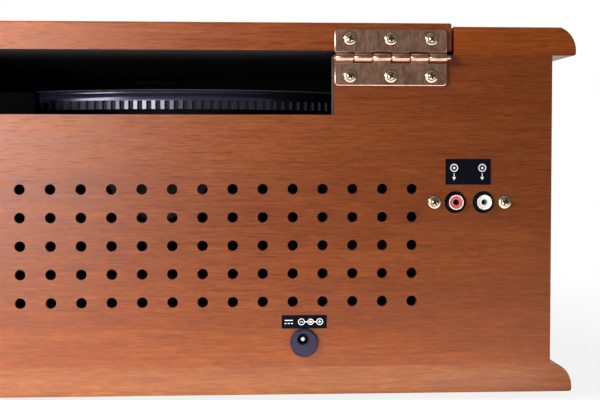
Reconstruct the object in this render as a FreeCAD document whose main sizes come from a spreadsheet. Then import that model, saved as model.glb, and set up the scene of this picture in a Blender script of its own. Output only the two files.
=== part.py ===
import FreeCAD, Part
import math
import os
import Sketcher

doc = FreeCAD.newDocument("record_player")

# Driving sizes, in millimetres unless the note says otherwise
sheet = doc.addObject("Spreadsheet::Sheet", "sizes")
size_rows = (
    ("body_width", 484.0, "outside width of the walls"),
    ("cabinet_depth", 350.0, "front face of the front panel to rear face of the rear panel"),
    ("wall_height", 177.0, "base board to top frame"),
    ("wall_thickness", 12.0, "side and front panels"),
    ("rear_thickness", 6.0, "rear panel"),
    ("base_thickness", 16.0, "base board"),
    ("base_overhang", 12.6, "base board beyond the walls"),
    ("top_thickness", 16.0, "top frame"),
    ("top_overhang", 13.7, "top frame beyond the walls"),
    ("moulding_lip", 3.0, "height of the widest line of a moulded edge"),
    ("moulding_rise", 1.0, "arc radius beyond the arc's height"),
    ("moulding_corner", 1.5, "rounded lower corner of a moulded edge"),
    ("side_rail", 56.8, "wall face to lid opening, left and right"),
    ("front_rail", 30.0, "front face to lid opening"),
    ("finger_notch", 16.0, "radius of the notch in front of the lid"),
    ("foot_height", 4.0, "rubber foot"),
    ("foot_radius", 11.0, "rubber foot"),
    ("foot_inset", 34.0, "foot centre from the wall faces"),
    ("lid_pad_height", 2.0, "felt pad under the lid"),
    ("lid_pad_radius", 8.0, "felt pad under the lid"),
    ("lid_thickness", 16.0, "lid board"),
    ("lid_gap", 1.5, "lid to frame all round"),
    ("lid_edge_radius", 1.0, "rounded upper edge of the lid"),
    ("slot_half", 117.0, "half length of the rear record slot"),
    ("slot_depth", 34.0, "wall top down to the slot floor"),
    ("slot_corner", 1.0, "corner radius of the slot"),
    ("vent_columns", 20.0, "count of vent columns"),
    ("vent_pitch", 17.0, "between vent columns"),
    ("vent_row_pitch", 16.0, "between vent rows"),
    ("vent_radius", 3.0, "vent hole"),
    ("vent_top", 101.0, "top vent row above the base board"),
    ("corner_block", 9.0, "side of the square corner blocks"),
    ("cleat_side", 12.0, "side of the square battens under the deck"),
    ("hinge_block_depth", 12.0, "block behind each hinge"),
    ("rest_block_drop", 20.0, "height of the lid rest blocks"),
    ("rest_block_lap", 22.0, "lid rest block showing inside the opening"),
    ("hinge_length", 64.0, "length of a hinge"),
    ("hinge_leaf", 16.0, "hinge axis to leaf edge"),
    ("leaf_thickness", 1.3, "hinge leaf"),
    ("knuckle_diameter", 5.2, "outside of a hinge knuckle"),
    ("knuckle_gap", 0.15, "end play of each knuckle"),
    ("hinge_drop", 3.7, "hinge axis below the lid"),
    ("hinge_pin_radius", 1.3, "hinge pin"),
    ("pin_clearance", 0.05, "radial clearance of a turning pin or shaft"),
    ("hinge_screw_spread", 23.2, "outer hinge screws from the middle one"),
    ("hinge_screw_row", 10.5, "hinge screws from the hinge axis"),
    ("screw_head_radius", 3.2, "round screw head"),
    ("screw_head_height", 2.0, "round screw head"),
    ("screw_radius", 1.6, "screw shank"),
    ("screw_length", 11.0, "screw shank under the head"),
    ("line_inset", 47.3, "line sockets' middle from the wall face"),
    ("line_height", 93.3, "line sockets above the base board"),
    ("line_pitch", 16.2, "between the two line sockets"),
    ("line_hole_radius", 6.4, "panel hole of a line socket"),
    ("line_screw_spread", 20.3, "line socket screws from the middle"),
    ("barrel_radius", 4.2, "metal barrel of a line socket"),
    ("barrel_wall", 0.5, "metal barrel of a line socket"),
    ("barrel_stand", 2.5, "metal barrel beyond the panel"),
    ("contact_radius", 1.7, "centre hole of a line socket"),
    ("flange_thickness", 2.5, "line socket flange inside the panel"),
    ("label_thickness", 0.3, "stuck-on label"),
    ("line_label_width", 26.0, "label above the line sockets"),
    ("line_label_height", 14.6, "label above the line sockets"),
    ("line_label_rise", 17.4, "label's middle above the line sockets"),
    ("dc_offset", 100.0, "power socket from the middle of the cabinet"),
    ("dc_height", 13.6, "power socket above the base board"),
    ("dc_flange_radius", 8.0, "power socket flange"),
    ("dc_flange_height", 2.5, "power socket flange"),
    ("dc_thread_radius", 4.6, "power socket body"),
    ("dc_bore_radius", 2.8, "power socket hole"),
    ("dc_hole_side", 0.9, "power socket hole beside the flange's middle"),
    ("dc_hole_rise", 2.2, "power socket hole above the flange's middle"),
    ("dc_pin_radius", 1.05, "power socket centre pin"),
    ("dc_depth", 14.0, "power socket behind the panel face"),
    ("dc_label_width", 25.7, "label above the power socket"),
    ("dc_label_height", 7.6, "label above the power socket"),
    ("dc_label_rise", 11.9, "label's middle above the power socket"),
    ("speaker_offset", 150.0, "speaker axis from the middle of the cabinet"),
    ("speaker_height", 84.0, "speaker axis above the base board"),
    ("speaker_radius", 50.0, "speaker rim"),
    ("cone_radius", 43.0, "speaker opening"),
    ("basket_depth", 26.0, "speaker rim to magnet"),
    ("basket_back", 24.0, "radius of the basket's back"),
    ("magnet_radius", 27.0, "speaker magnet"),
    ("magnet_height", 13.0, "speaker magnet"),
    ("sheet_metal", 1.2, "basket metal"),
    ("cone_wall", 0.9, "speaker cone paper"),
    ("grille_slots", 4.0, "count of openings in front of each speaker"),
    ("grille_slot_width", 18.0, "opening in front of a speaker"),
    ("grille_slot_height", 104.0, "opening in front of a speaker"),
    ("grille_pitch", 26.0, "between those openings"),
    ("cloth_thickness", 1.2, "grille cloth on its card"),
    ("dial_height", 108.0, "dial axis above the base board"),
    ("dial_hole", 43.0, "radius of the dial hole"),
    ("bezel_rim", 5.0, "bezel beyond the dial hole"),
    ("bezel_stand", 4.0, "bezel in front of the panel"),
    ("bezel_wall", 2.0, "bezel sleeve"),
    ("glass_thickness", 1.5, "dial glass"),
    ("dial_set_back", 8.0, "dial plate behind the panel face"),
    ("dial_plate_thickness", 1.5, "dial plate"),
    ("pointer_shaft", 2.0, "radius of the pointer shaft"),
    ("pointer_length", 34.0, "pointer needle"),
    ("pointer_drum", 18.0, "radius of the pointer's cord drum"),
    ("pointer_axle_tail", 14.0, "pointer shaft behind its bracket"),
    ("drum_clearance", 2.0, "turntable deck to the pointer's cord drum"),
    ("tuning_drum", 6.0, "radius of the tuning shaft's cord drum"),
    ("cord_thickness", 0.8, "dial cord"),
    ("capacitor_side", 22.0, "square case of the tuning capacitor"),
    ("capacitor_depth", 20.5, "case of the tuning capacitor"),
    ("bracket_height", 16.0, "bracket that carries the tuning capacitor"),
    ("bracket_metal", 1.5, "bracket that carries the tuning capacitor"),
    ("belt_clearance", 0.15, "belt or cord to the wheel that it runs on"),
    ("knob_row", 24.0, "knob axes above the base board"),
    ("knob_spacing", 58.0, "between knob axes"),
    ("knob_radius", 14.0, "volume and function knobs"),
    ("tuning_knob_radius", 17.0, "tuning knob"),
    ("knob_projection", 20.0, "knob fronts from the panel face"),
    ("knob_stand", 2.0, "gap between knob and panel"),
    ("shaft_radius", 3.0, "knob shaft"),
    ("bush_radius", 4.4, "bush of a knob shaft"),
    ("lamp_radius", 3.5, "power lamp"),
    ("lamp_height", 52.0, "power lamp above the base board"),
    ("board_width", 130.0, "circuit board"),
    ("board_depth", 86.0, "circuit board"),
    ("board_thickness", 1.6, "circuit board"),
    ("board_stand", 8.0, "circuit board above the base board"),
    ("deck_thickness", 3.0, "turntable deck"),
    ("deck_gap", 0.5, "deck to the walls"),
    ("platter_shift", 29.0, "platter axis left of the middle"),
    ("platter_set_back", 160.0, "platter axis in front of the rear face"),
    ("platter_radius", 140.0, "platter rim"),
    ("rib_count", 166.0, "count of ribs round the rim"),
    ("rib_depth", 1.2, "rim rib"),
    ("rib_height", 4.9, "rim rib"),
    ("rim_clear", 3.8, "platter rim above the deck"),
    ("shoulder_radius", 6.0, "rounded shoulder of the rim"),
    ("rim_wall", 4.0, "platter rim"),
    ("rim_land", 2.0, "flat ring inside the shoulder"),
    ("mat_recess", 1.5, "mat seat below the rim"),
    ("mat_thickness", 2.5, "platter mat"),
    ("mat_gap", 0.6, "mat to its seat"),
    ("web_thickness", 3.0, "platter web"),
    ("belt_ring", 70.0, "outside radius of the belt ring under the platter"),
    ("belt_ring_wall", 4.0, "belt ring"),
    ("hub_radius", 9.0, "platter hub"),
    ("hub_play", 0.1, "platter hub above its bearing"),
    ("spindle_radius", 3.55, "record spindle"),
    ("spindle_shaft", 3.95, "radius of the spindle inside the hub and bearing"),
    ("spindle_stand", 22.8, "spindle tip above the deck"),
    ("spindle_tip", 2.0, "rounded spindle tip"),
    ("spindle_relief", 0.25, "depth of the groove at the foot of the spindle"),
    ("spindle_relief_rise", 0.3, "top of that groove above the mat"),
    ("bush_flange", 11.0, "radius of the spindle bearing flange"),
    ("bush_flange_height", 2.0, "spindle bearing flange"),
    ("bush_wall", 3.2, "spindle bearing"),
    ("bush_depth", 24.0, "spindle bearing below the deck"),
    ("motor_distance", 105.0, "motor axis left of the platter axis"),
    ("motor_radius", 17.0, "motor can"),
    ("motor_height", 26.0, "motor can"),
    ("motor_drop", 2.0, "motor below the deck"),
    ("pulley_radius", 6.0, "motor pulley"),
    ("motor_shaft", 1.0, "radius of the motor shaft"),
    ("belt_height", 3.0, "belt width"),
    ("belt_thickness", 0.9, "belt"),
    ("arm_reach", 165.0, "tonearm pivot right of the platter axis"),
    ("arm_set_back", 55.0, "tonearm pivot in front of the rear face"),
    ("arm_height", 26.5, "tonearm axis above the deck"),
    ("arm_radius", 4.0, "tonearm tube"),
    ("arm_length", 172.0, "pivot to the end of the tube"),
    ("arm_tail", 24.0, "tube behind the pivot"),
    ("arm_pin_radius", 1.5, "tonearm's pivot pin"),
    ("arm_pin_reach", 9.8, "tonearm's pivot pin, each side of the tube's middle"),
    ("arm_base_radius", 15.0, "tonearm base"),
    ("arm_base_height", 9.0, "tonearm base"),
    ("plinth_width", 58.0, "cover of the stop mechanism behind the platter"),
    ("plinth_reach", 83.0, "left end of that cover from the tonearm pivot"),
    ("plinth_depth", 19.0, "cover of the stop mechanism"),
    ("plinth_height", 13.5, "cover of the stop mechanism"),
    ("plinth_inset", 17.0, "cover in front of the rear face"),
    ("plinth_round", 1.5, "rounded upper edges of that cover"),
    ("headshell_angle", 20.0, "headshell turned inward, degrees"),
    ("headshell_length", 46.0, "headshell"),
    ("headshell_width", 18.0, "headshell"),
    ("headshell_thickness", 4.0, "headshell"),
    ("cartridge_height", 5.0, "cartridge body"),
    ("stylus_height", 1.5, "stylus below the cartridge"),
    ("counterweight_radius", 7.5, "counterweight"),
    ("counterweight_length", 13.0, "counterweight"),
    ("rest_distance", 110.0, "arm rest in front of the pivot"),
    ("cue_distance", 20.0, "lift bar in front of the pivot"),
    ("cue_length", 30.0, "cue lever"),
    ("switch_offset", 165.0, "deck switches right of the middle"),
    ("speed_position", 45.0, "speed switch behind the deck's front edge less its travel"),
    ("switch_travel", 14.0, "deck switch travel"),
    ("adapter_radius", 19.0, "large-hole record adapter"),
    ("adapter_height", 8.0, "large-hole record adapter"),
)
for row, (alias, value, note) in enumerate(size_rows, 1):
    sheet.set("A%d" % row, alias)
    sheet.set("B%d" % row, str(value))
    sheet.set("C%d" % row, note)
    sheet.setAlias("B%d" % row, alias)
doc.recompute()


# A length that carries its number and the cell expression that gives it
class Size:
    def __init__(self, value, text):
        self.value = value
        self.text = text

    def __add__(self, other):
        other = as_size(other)
        return Size(self.value + other.value, "(%s + %s)" % (self.text, other.text))

    def __radd__(self, other):
        return as_size(other) + self

    def __sub__(self, other):
        other = as_size(other)
        return Size(self.value - other.value, "(%s - %s)" % (self.text, other.text))

    def __rsub__(self, other):
        return as_size(other) - self

    def __mul__(self, other):
        other = as_size(other)
        return Size(self.value * other.value, "(%s * %s)" % (self.text, other.text))

    def __rmul__(self, other):
        return as_size(other) * self

    def __truediv__(self, other):
        other = as_size(other)
        return Size(self.value / other.value, "(%s / %s)" % (self.text, other.text))

    def __neg__(self):
        return Size(-self.value, "(0 - %s)" % self.text)

    def root(self):
        return Size(math.sqrt(self.value), "sqrt(%s)" % self.text)


def as_size(number):
    if isinstance(number, Size):
        return number
    if number < 0:
        return Size(float(number), "(0 - %.6g)" % -number)
    return Size(float(number), "%.6g" % number)


class SizeSet:
    pass


s = SizeSet()
for alias, value, note in size_rows:
    setattr(s, alias, Size(value, "sizes." + alias))

nodes = []


def node(part):
    nodes.append(part)
    return part


def bind(part, name, size):
    part.setExpression(name, as_size(size).text)


def move_to(part, x, y, z):
    bind(part, "Placement.Base.x", x)
    bind(part, "Placement.Base.y", y)
    bind(part, "Placement.Base.z", z)


turns = {
    "x": FreeCAD.Rotation(FreeCAD.Vector(0, 1, 0), 90),
    "y": FreeCAD.Rotation(FreeCAD.Vector(1, 0, 0), -90),
    "z": FreeCAD.Rotation(),
}


# Solid block between two corners
def block(name, x0, x1, y0, y1, z0, z1):
    part = doc.addObject("Part::Box", name)
    bind(part, "Length", as_size(x1) - x0)
    bind(part, "Width", as_size(y1) - y0)
    bind(part, "Height", as_size(z1) - z0)
    move_to(part, x0, y0, z0)
    return part


# Solid rod that starts at a point and runs along an axis
def rod(name, axis, x, y, z, radius, length):
    part = doc.addObject("Part::Cylinder", name)
    part.Placement = FreeCAD.Placement(FreeCAD.Vector(), turns[axis])
    bind(part, "Radius", radius)
    bind(part, "Height", length)
    move_to(part, x, y, z)
    return part


def taper(name, axis, x, y, z, radius, end_radius, length):
    part = doc.addObject("Part::Cone", name)
    part.Placement = FreeCAD.Placement(FreeCAD.Vector(), turns[axis])
    bind(part, "Radius1", radius)
    bind(part, "Radius2", end_radius)
    bind(part, "Height", length)
    move_to(part, x, y, z)
    return part


def fuse(name, *parts):
    part = doc.addObject("Part::MultiFuse", name)
    part.Shapes = list(parts)
    part.Refine = True
    return part


def cut(name, base, *tools):
    part = doc.addObject("Part::Cut", name)
    part.Base = base
    if len(tools) == 1:
        part.Tool = tools[0]
    else:
        part.Tool = fuse(name + "_tools", *tools)
    return part


def common(name, first, second):
    part = doc.addObject("Part::MultiCommon", name)
    part.Shapes = [first, second]
    return part


def group(name, *parts):
    part = doc.addObject("Part::Compound", name)
    part.Links = list(parts)
    return part


def tube(name, axis, x, y, z, radius, bore, length):
    outside = rod(name + "_outside", axis, x, y, z, radius, length)
    inside = rod(name + "_inside", axis, x, y, z, bore, length)
    return cut(name, outside, inside)


# Dimensioned sketch vertex
def pin_point(sketch, label, edge, end, x, y):
    for kind, size in (("DistanceX", as_size(x)), ("DistanceY", as_size(y))):
        index = sketch.addConstraint(Sketcher.Constraint(kind, -1, 1, edge, end, size.value))
        name = label + kind[-1].lower()
        sketch.renameConstraint(index, name)
        bind(sketch, "Constraints." + name, size)


# Closed outline of corners; bends gives an edge a radius, negative where it curves the other way
def outline(sketch, corners, bends=None):
    bends = bends or {}
    corners = [(as_size(x), as_size(y)) for x, y in corners]
    first_edge = sketch.GeometryCount
    ends = []
    for index, (x, y) in enumerate(corners):
        next_x, next_y = corners[(index + 1) % len(corners)]
        start = FreeCAD.Vector(x.value, y.value, 0)
        stop = FreeCAD.Vector(next_x.value, next_y.value, 0)
        if index not in bends:
            sketch.addGeometry(Part.LineSegment(start, stop))
            ends.append((1, 2))
            continue
        radius = bends[index].value
        chord = stop - start
        across = FreeCAD.Vector(-chord.y, chord.x, 0)
        across.normalize()
        lift = math.sqrt(max(radius * radius - chord.Length * chord.Length / 4, 0))
        centre = (start + stop) * 0.5 + across * (lift if radius > 0 else -lift)
        circle = Part.Circle(centre, FreeCAD.Vector(0, 0, 1), abs(radius))
        begin = math.atan2(start.y - centre.y, start.x - centre.x)
        end = math.atan2(stop.y - centre.y, stop.x - centre.x)
        if radius > 0:
            sketch.addGeometry(Part.ArcOfCircle(circle, begin, end if end > begin else end + 2 * math.pi))
            ends.append((1, 2))
        else:
            sketch.addGeometry(Part.ArcOfCircle(circle, end, begin if begin > end else begin + 2 * math.pi))
            ends.append((2, 1))
    count = len(corners)
    for index in range(count):
        after = (index + 1) % count
        sketch.addConstraint(Sketcher.Constraint(
            "Coincident", first_edge + index, ends[index][1], first_edge + after, ends[after][0]))
    for index, (x, y) in enumerate(corners):
        pin_point(sketch, "p%d" % (first_edge + index), first_edge + index, ends[index][0], x, y)
    for index, bend in bends.items():
        size = bend if bend.value > 0 else -bend
        number = sketch.addConstraint(Sketcher.Constraint("Radius", first_edge + index, size.value))
        sketch.renameConstraint(number, "r%d" % (first_edge + index))
        bind(sketch, "Constraints.r%d" % (first_edge + index), size)


def hole(sketch, x, y, radius):
    x, y, radius = as_size(x), as_size(y), as_size(radius)
    edge = sketch.addGeometry(Part.Circle(
        FreeCAD.Vector(x.value, y.value, 0), FreeCAD.Vector(0, 0, 1), radius.value))
    pin_point(sketch, "c%d" % edge, edge, 3, x, y)
    number = sketch.addConstraint(Sketcher.Constraint("Radius", edge, radius.value))
    sketch.renameConstraint(number, "r%d" % edge)
    bind(sketch, "Constraints.r%d" % edge, radius)


def body_sketch(body, plane, name):
    sketch = body.newObject("Sketcher::SketchObject", name)
    support = [item for item in body.Origin.OriginFeatures if item.Role == plane][0]
    sketch.AttachmentSupport = (support, [""])
    sketch.MapMode = "FlatFace"
    return sketch


def pad(body, sketch, length, upward=True):
    feature = body.newObject("PartDesign::Pad", sketch.Name + "_pad")
    feature.Profile = sketch
    feature.Reversed = not upward
    bind(feature, "Length", length)
    body.Tip = feature
    return feature


def pocket(body, sketch):
    feature = body.newObject("PartDesign::Pocket", sketch.Name + "_pocket")
    feature.Profile = sketch
    feature.Type = "ThroughAll"
    feature.Midplane = True
    body.Tip = feature
    return feature


def row_of(body, feature, sketch, length, count):
    pattern = body.newObject("PartDesign::LinearPattern", sketch.Name + "_row")
    pattern.Originals = [feature]
    pattern.Direction = (sketch, ["H_Axis"])
    bind(pattern, "Length", length)
    bind(pattern, "Occurrences", count)
    body.Tip = pattern
    return pattern


# Turned piece: corners are radius and height along the axis
def turned(name, axis, x, y, z, corners, bends=None):
    body = doc.addObject("PartDesign::Body", name)
    sketch = body_sketch(body, "XZ_Plane" if axis == "z" else "XY_Plane", name + "_profile")
    outline(sketch, corners, bends)
    feature = body.newObject("PartDesign::Revolution", name + "_turn")
    feature.Profile = sketch
    feature.ReferenceAxis = (sketch, ["V_Axis"])
    feature.Angle = 360
    body.Tip = feature
    move_to(body, x, y, z)
    return body


# Loose profile drawn in the XZ or YZ plane and drawn out to a length
def drawn(name, plane, corners, bends, start, length):
    sketch = doc.addObject("Sketcher::SketchObject", name + "_profile")
    if plane == "xz":
        sketch.Placement = FreeCAD.Placement(FreeCAD.Vector(), FreeCAD.Rotation(FreeCAD.Vector(1, 0, 0), 90))
        bind(sketch, "Placement.Base.y", as_size(start) + length)
    else:
        sketch.Placement = FreeCAD.Placement(
            FreeCAD.Vector(), FreeCAD.Rotation(FreeCAD.Vector(1, 1, 1), 120))
        bind(sketch, "Placement.Base.x", start)
    outline(sketch, corners, bends)
    part = doc.addObject("Part::Extrusion", name)
    part.Base = sketch
    part.DirMode = "Normal"
    part.Solid = True
    bind(part, "LengthFwd", length)
    return part


# Main planes of the cabinet
total_depth = s.cabinet_depth + s.knob_projection + s.knuckle_diameter
rear = total_depth / 2 - s.knuckle_diameter
front = rear - s.cabinet_depth
rear_inner = rear - s.rear_thickness
front_inner = front + s.wall_thickness
half = s.body_width / 2
inner_half = half - s.wall_thickness
base_top = s.foot_height + s.base_thickness
wall_top = base_top + s.wall_height
frame_top = wall_top + s.top_thickness
lid_bottom = wall_top + s.lid_pad_height
lid_top = lid_bottom + s.lid_thickness
slot_floor = wall_top - s.slot_depth
deck_top = slot_floor
deck_bottom = deck_top - s.deck_thickness
opening_half = half - s.side_rail
opening_front = front + s.front_rail


# Board with a moulded edge on the front and both sides, square at the rear
def moulded_board(name, bottom, thickness, overhang):
    edge = half + overhang
    front_edge = front - overhang
    top = bottom + thickness
    lip = bottom + s.moulding_lip
    rise = thickness - s.moulding_lip
    radius = rise + s.moulding_rise
    set_in = radius - (radius * radius - rise * rise).root()
    corner = s.moulding_corner
    across = drawn(
        name + "_across", "xz",
        [(corner - edge, bottom), (edge - corner, bottom), (edge, bottom + corner), (edge, lip),
         (edge - set_in, top), (set_in - edge, top), (-edge, lip), (-edge, bottom + corner)],
        {1: corner, 3: radius, 5: radius, 7: corner},
        front_edge, rear - front_edge)
    along = drawn(
        name + "_along", "yz",
        [(front_edge + corner, bottom), (rear, bottom), (rear, top), (front_edge + set_in, top),
         (front_edge, lip), (front_edge, bottom + corner)],
        {3: radius, 5: corner},
        -edge, edge * 2)
    return common(name, across, along)


# Cabinet boards
node(moulded_board("base_board", s.foot_height, s.base_thickness, s.base_overhang))

frame_board = moulded_board("frame_board", wall_top, s.top_thickness, s.top_overhang)
lid_opening = block(
    "lid_opening", -opening_half, opening_half, opening_front, rear + 10, wall_top - 1, frame_top + 1)
finger_notch = rod("finger_notch", "z", 0, opening_front, wall_top - 1, s.finger_notch, s.top_thickness + 2)
node(cut("top_frame", frame_board, lid_opening, finger_notch))

node(block("side_panel_left", -half, -inner_half, front_inner, rear_inner, base_top, wall_top))
node(block("side_panel_right", inner_half, half, front_inner, rear_inner, base_top, wall_top))

speaker_z = base_top + s.speaker_height
dial_z = base_top + s.dial_height
knob_z = base_top + s.knob_row
lamp_x = s.knob_spacing
lamp_z = base_top + s.lamp_height

front_panel = node(doc.addObject("PartDesign::Body", "front_panel"))
face = body_sketch(front_panel, "XZ_Plane", "front_face")
outline(face, [(-half, base_top), (half, base_top), (half, wall_top), (-half, wall_top)])
pad(front_panel, face, s.wall_thickness)
slot_span = s.grille_pitch * (s.grille_slots - 1)
slot_end = s.grille_slot_width / 2
slot_low = speaker_z - s.grille_slot_height / 2 + slot_end
slot_high = speaker_z + s.grille_slot_height / 2 - slot_end
for side, sign in (("left", -1), ("right", 1)):
    first = s.speaker_offset * sign - slot_span / 2
    opening = body_sketch(front_panel, "XZ_Plane", "grille_slot_" + side)
    outline(opening,
            [(first - slot_end, slot_low), (first + slot_end, slot_low),
             (first + slot_end, slot_high), (first - slot_end, slot_high)],
            {0: slot_end * 1.05, 2: slot_end * 1.05})
    row_of(front_panel, pocket(front_panel, opening), opening, slot_span, s.grille_slots)
control_holes = body_sketch(front_panel, "XZ_Plane", "control_holes")
hole(control_holes, 0, dial_z, s.dial_hole)
hole(control_holes, 0, knob_z, s.bush_radius)
hole(control_holes, -s.knob_spacing, knob_z, s.bush_radius)
hole(control_holes, s.knob_spacing, knob_z, s.bush_radius)
hole(control_holes, lamp_x, lamp_z, s.lamp_radius)
pocket(front_panel, control_holes)
bind(front_panel, "Placement.Base.y", front_inner)

line_x = s.line_inset - half
line_z = base_top + s.line_height
dc_x = -s.dc_offset
dc_z = base_top + s.dc_height
jack_x = dc_x + s.dc_hole_side
jack_z = dc_z + s.dc_hole_rise

rear_panel = node(doc.addObject("PartDesign::Body", "rear_panel"))
back = body_sketch(rear_panel, "XZ_Plane", "rear_face")
outline(back, [(-half, base_top), (half, base_top), (half, wall_top), (-half, wall_top)])
pad(rear_panel, back, s.rear_thickness)
slot = body_sketch(rear_panel, "XZ_Plane", "record_slot")
outline(slot,
        [(s.slot_corner - s.slot_half, slot_floor), (s.slot_half - s.slot_corner, slot_floor),
         (s.slot_half, slot_floor + s.slot_corner), (s.slot_half, wall_top + 5),
         (-s.slot_half, wall_top + 5), (-s.slot_half, slot_floor + s.slot_corner)],
        {1: s.slot_corner, 5: s.slot_corner})
pocket(rear_panel, slot)
sockets = body_sketch(rear_panel, "XZ_Plane", "socket_holes")
hole(sockets, line_x - s.line_pitch / 2, line_z, s.line_hole_radius)
hole(sockets, line_x + s.line_pitch / 2, line_z, s.line_hole_radius)
hole(sockets, jack_x, jack_z, s.dc_thread_radius)
pocket(rear_panel, sockets)
vent_span = s.vent_pitch * (s.vent_columns - 1)
vents = body_sketch(rear_panel, "XZ_Plane", "vent_column")
for vent in range(5):
    hole(vents, -vent_span / 2, base_top + s.vent_top - s.vent_row_pitch * vent, s.vent_radius)
row_of(rear_panel, pocket(rear_panel, vents), vents, vent_span, s.vent_columns)
bind(rear_panel, "Placement.Base.y", rear)

# Blocks and battens glued inside the cabinet
blocks = []
for side, sign in (("left", -1), ("right", 1)):
    wall = inner_half * sign
    inside = wall - s.corner_block * sign
    low, high = (wall, inside) if sign < 0 else (inside, wall)
    blocks.append(block("corner_block_front_" + side, low, high,
                        front_inner, front_inner + s.corner_block, base_top, deck_bottom))
    blocks.append(block("corner_block_rear_" + side, low, high,
                        rear_inner - s.corner_block, rear_inner, base_top, deck_bottom))
    inside = wall - s.cleat_side * sign
    low, high = (wall, inside) if sign < 0 else (inside, wall)
    blocks.append(block("deck_cleat_" + side, low, high, front_inner + s.corner_block,
                        rear_inner - s.corner_block, deck_bottom - s.cleat_side, deck_bottom))
    near = s.slot_half * sign
    far = (s.slot_half + s.hinge_length + s.lid_gap) * sign
    low, high = (far, near) if sign < 0 else (near, far)
    blocks.append(block("hinge_block_" + side, low, high, rear_inner - s.hinge_block_depth, rear_inner,
                        deck_top + s.deck_gap, wall_top))
    near = (opening_half - s.rest_block_lap) * sign
    far = (opening_half + s.rest_block_lap) * sign
    low, high = (far, near) if sign < 0 else (near, far)
    blocks.append(block("lid_rest_block_" + side, low, high, front_inner,
                        opening_front + s.rest_block_lap, wall_top - s.rest_block_drop, wall_top))
node(group("glue_blocks", *blocks))

pads = []
for side, sign in (("left", -1), ("right", 1)):
    pads.append(rod("lid_pad_" + side, "z", (opening_half - s.rest_block_lap / 2) * sign,
                    opening_front + s.rest_block_lap / 2, wall_top, s.lid_pad_radius, s.lid_pad_height))
node(group("lid_pads", *pads))

# Lid
lid_half = opening_half - s.lid_gap
lid_front = opening_front + s.lid_gap
edge = s.lid_edge_radius
lid_across = drawn(
    "lid_across", "xz",
    [(-lid_half, lid_bottom), (lid_half, lid_bottom), (lid_half, lid_top - edge), (lid_half - edge, lid_top),
     (edge - lid_half, lid_top), (-lid_half, lid_top - edge)],
    {2: edge, 4: edge}, lid_front, rear - lid_front)
lid_along = drawn(
    "lid_along", "yz",
    [(lid_front, lid_bottom), (rear, lid_bottom), (rear, lid_top - edge), (rear - edge, lid_top),
     (lid_front + edge, lid_top), (lid_front, lid_top - edge)],
    {2: edge, 4: edge}, -lid_half, lid_half * 2)
node(common("lid_board", lid_across, lid_along))


# Round-headed screw that drives in towards the front
def rear_screw(name, x, y, z):
    head = s.screw_head_height
    radius = s.screw_head_radius
    shank = s.screw_radius
    return turned(name, "y", x, y, z,
                  [(0, -s.screw_length), (shank, -s.screw_length), (shank, 0), (radius, 0),
                   (radius, head * 0.3), (radius * 0.62, head), (0, head)])


# Hinges
axis_y = rear + s.knuckle_diameter / 2
axis_z = lid_bottom - s.hinge_drop
knuckle = s.hinge_length / 6
clear_of_barrel = s.knuckle_diameter / 2 + 0.4
case_leaves = []
lid_leaves = []
pins = []
case_screws = []
lid_screws = []
for side, sign in (("left", -1), ("right", 1)):
    for leaf, up, order in (("case", -1, 0), ("lid", 1, 1)):
        name = "hinge_%s_%s_leaf" % (side, leaf)
        near = s.slot_half * sign
        far = (s.slot_half + s.hinge_length) * sign
        low, high = (far, near) if sign < 0 else (near, far)
        inner = axis_z + clear_of_barrel * up
        outer = axis_z + s.hinge_leaf * up
        bottom, top = (outer, inner) if up < 0 else (inner, outer)
        plates = [block(name + "_plate", low, high, rear, rear + s.leaf_thickness, bottom, top)]
        tools = [rod(name + "_bore", "x", low - 1, axis_y, axis_z,
                     s.hinge_pin_radius + s.pin_clearance, s.hinge_length + 2)]
        for turn in range(3):
            start = s.slot_half + knuckle * (2 * turn + order) + s.knuckle_gap
            stop = s.slot_half + knuckle * (2 * turn + order + 1) - s.knuckle_gap
            knuckle_low, knuckle_high = (-stop, -start) if sign < 0 else (start, stop)
            bottom, top = (inner, axis_z) if up < 0 else (axis_z, inner)
            plates.append(block("%s_tab_%d" % (name, turn), knuckle_low, knuckle_high,
                                rear, rear + s.leaf_thickness, bottom, top))
            plates.append(rod("%s_knuckle_%d" % (name, turn), "x", knuckle_low, axis_y, axis_z,
                              s.knuckle_diameter / 2, knuckle - s.knuckle_gap * 2))
            middle = (s.slot_half + s.hinge_length / 2) * sign
            screw_x = middle + s.hinge_screw_spread * (turn - 1)
            screw_z = axis_z + s.hinge_screw_row * up
            tools.append(rod("%s_hole_%d" % (name, turn), "y", screw_x, rear - 1, screw_z,
                             s.screw_radius, s.leaf_thickness + 2))
            screw = rear_screw("%s_screw_%d" % (name, turn), screw_x, rear + s.leaf_thickness, screw_z)
            (case_screws if up < 0 else lid_screws).append(screw)
        (case_leaves if up < 0 else lid_leaves).append(cut(name, fuse(name + "_solid", *plates), *tools))
    low = s.slot_half - 0.5
    high = s.slot_half + s.hinge_length + 1.7
    low, high = (-high, -low) if sign < 0 else (low, high)
    pins.append(rod("hinge_pin_" + side, "x", low, axis_y, axis_z, s.hinge_pin_radius, high - low))
node(group("hinge_case_leaves", *case_leaves))
node(group("hinge_lid_leaves", *lid_leaves))
node(group("hinge_pins", *pins))
node(group("hinge_lid_screws", *lid_screws))

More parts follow.
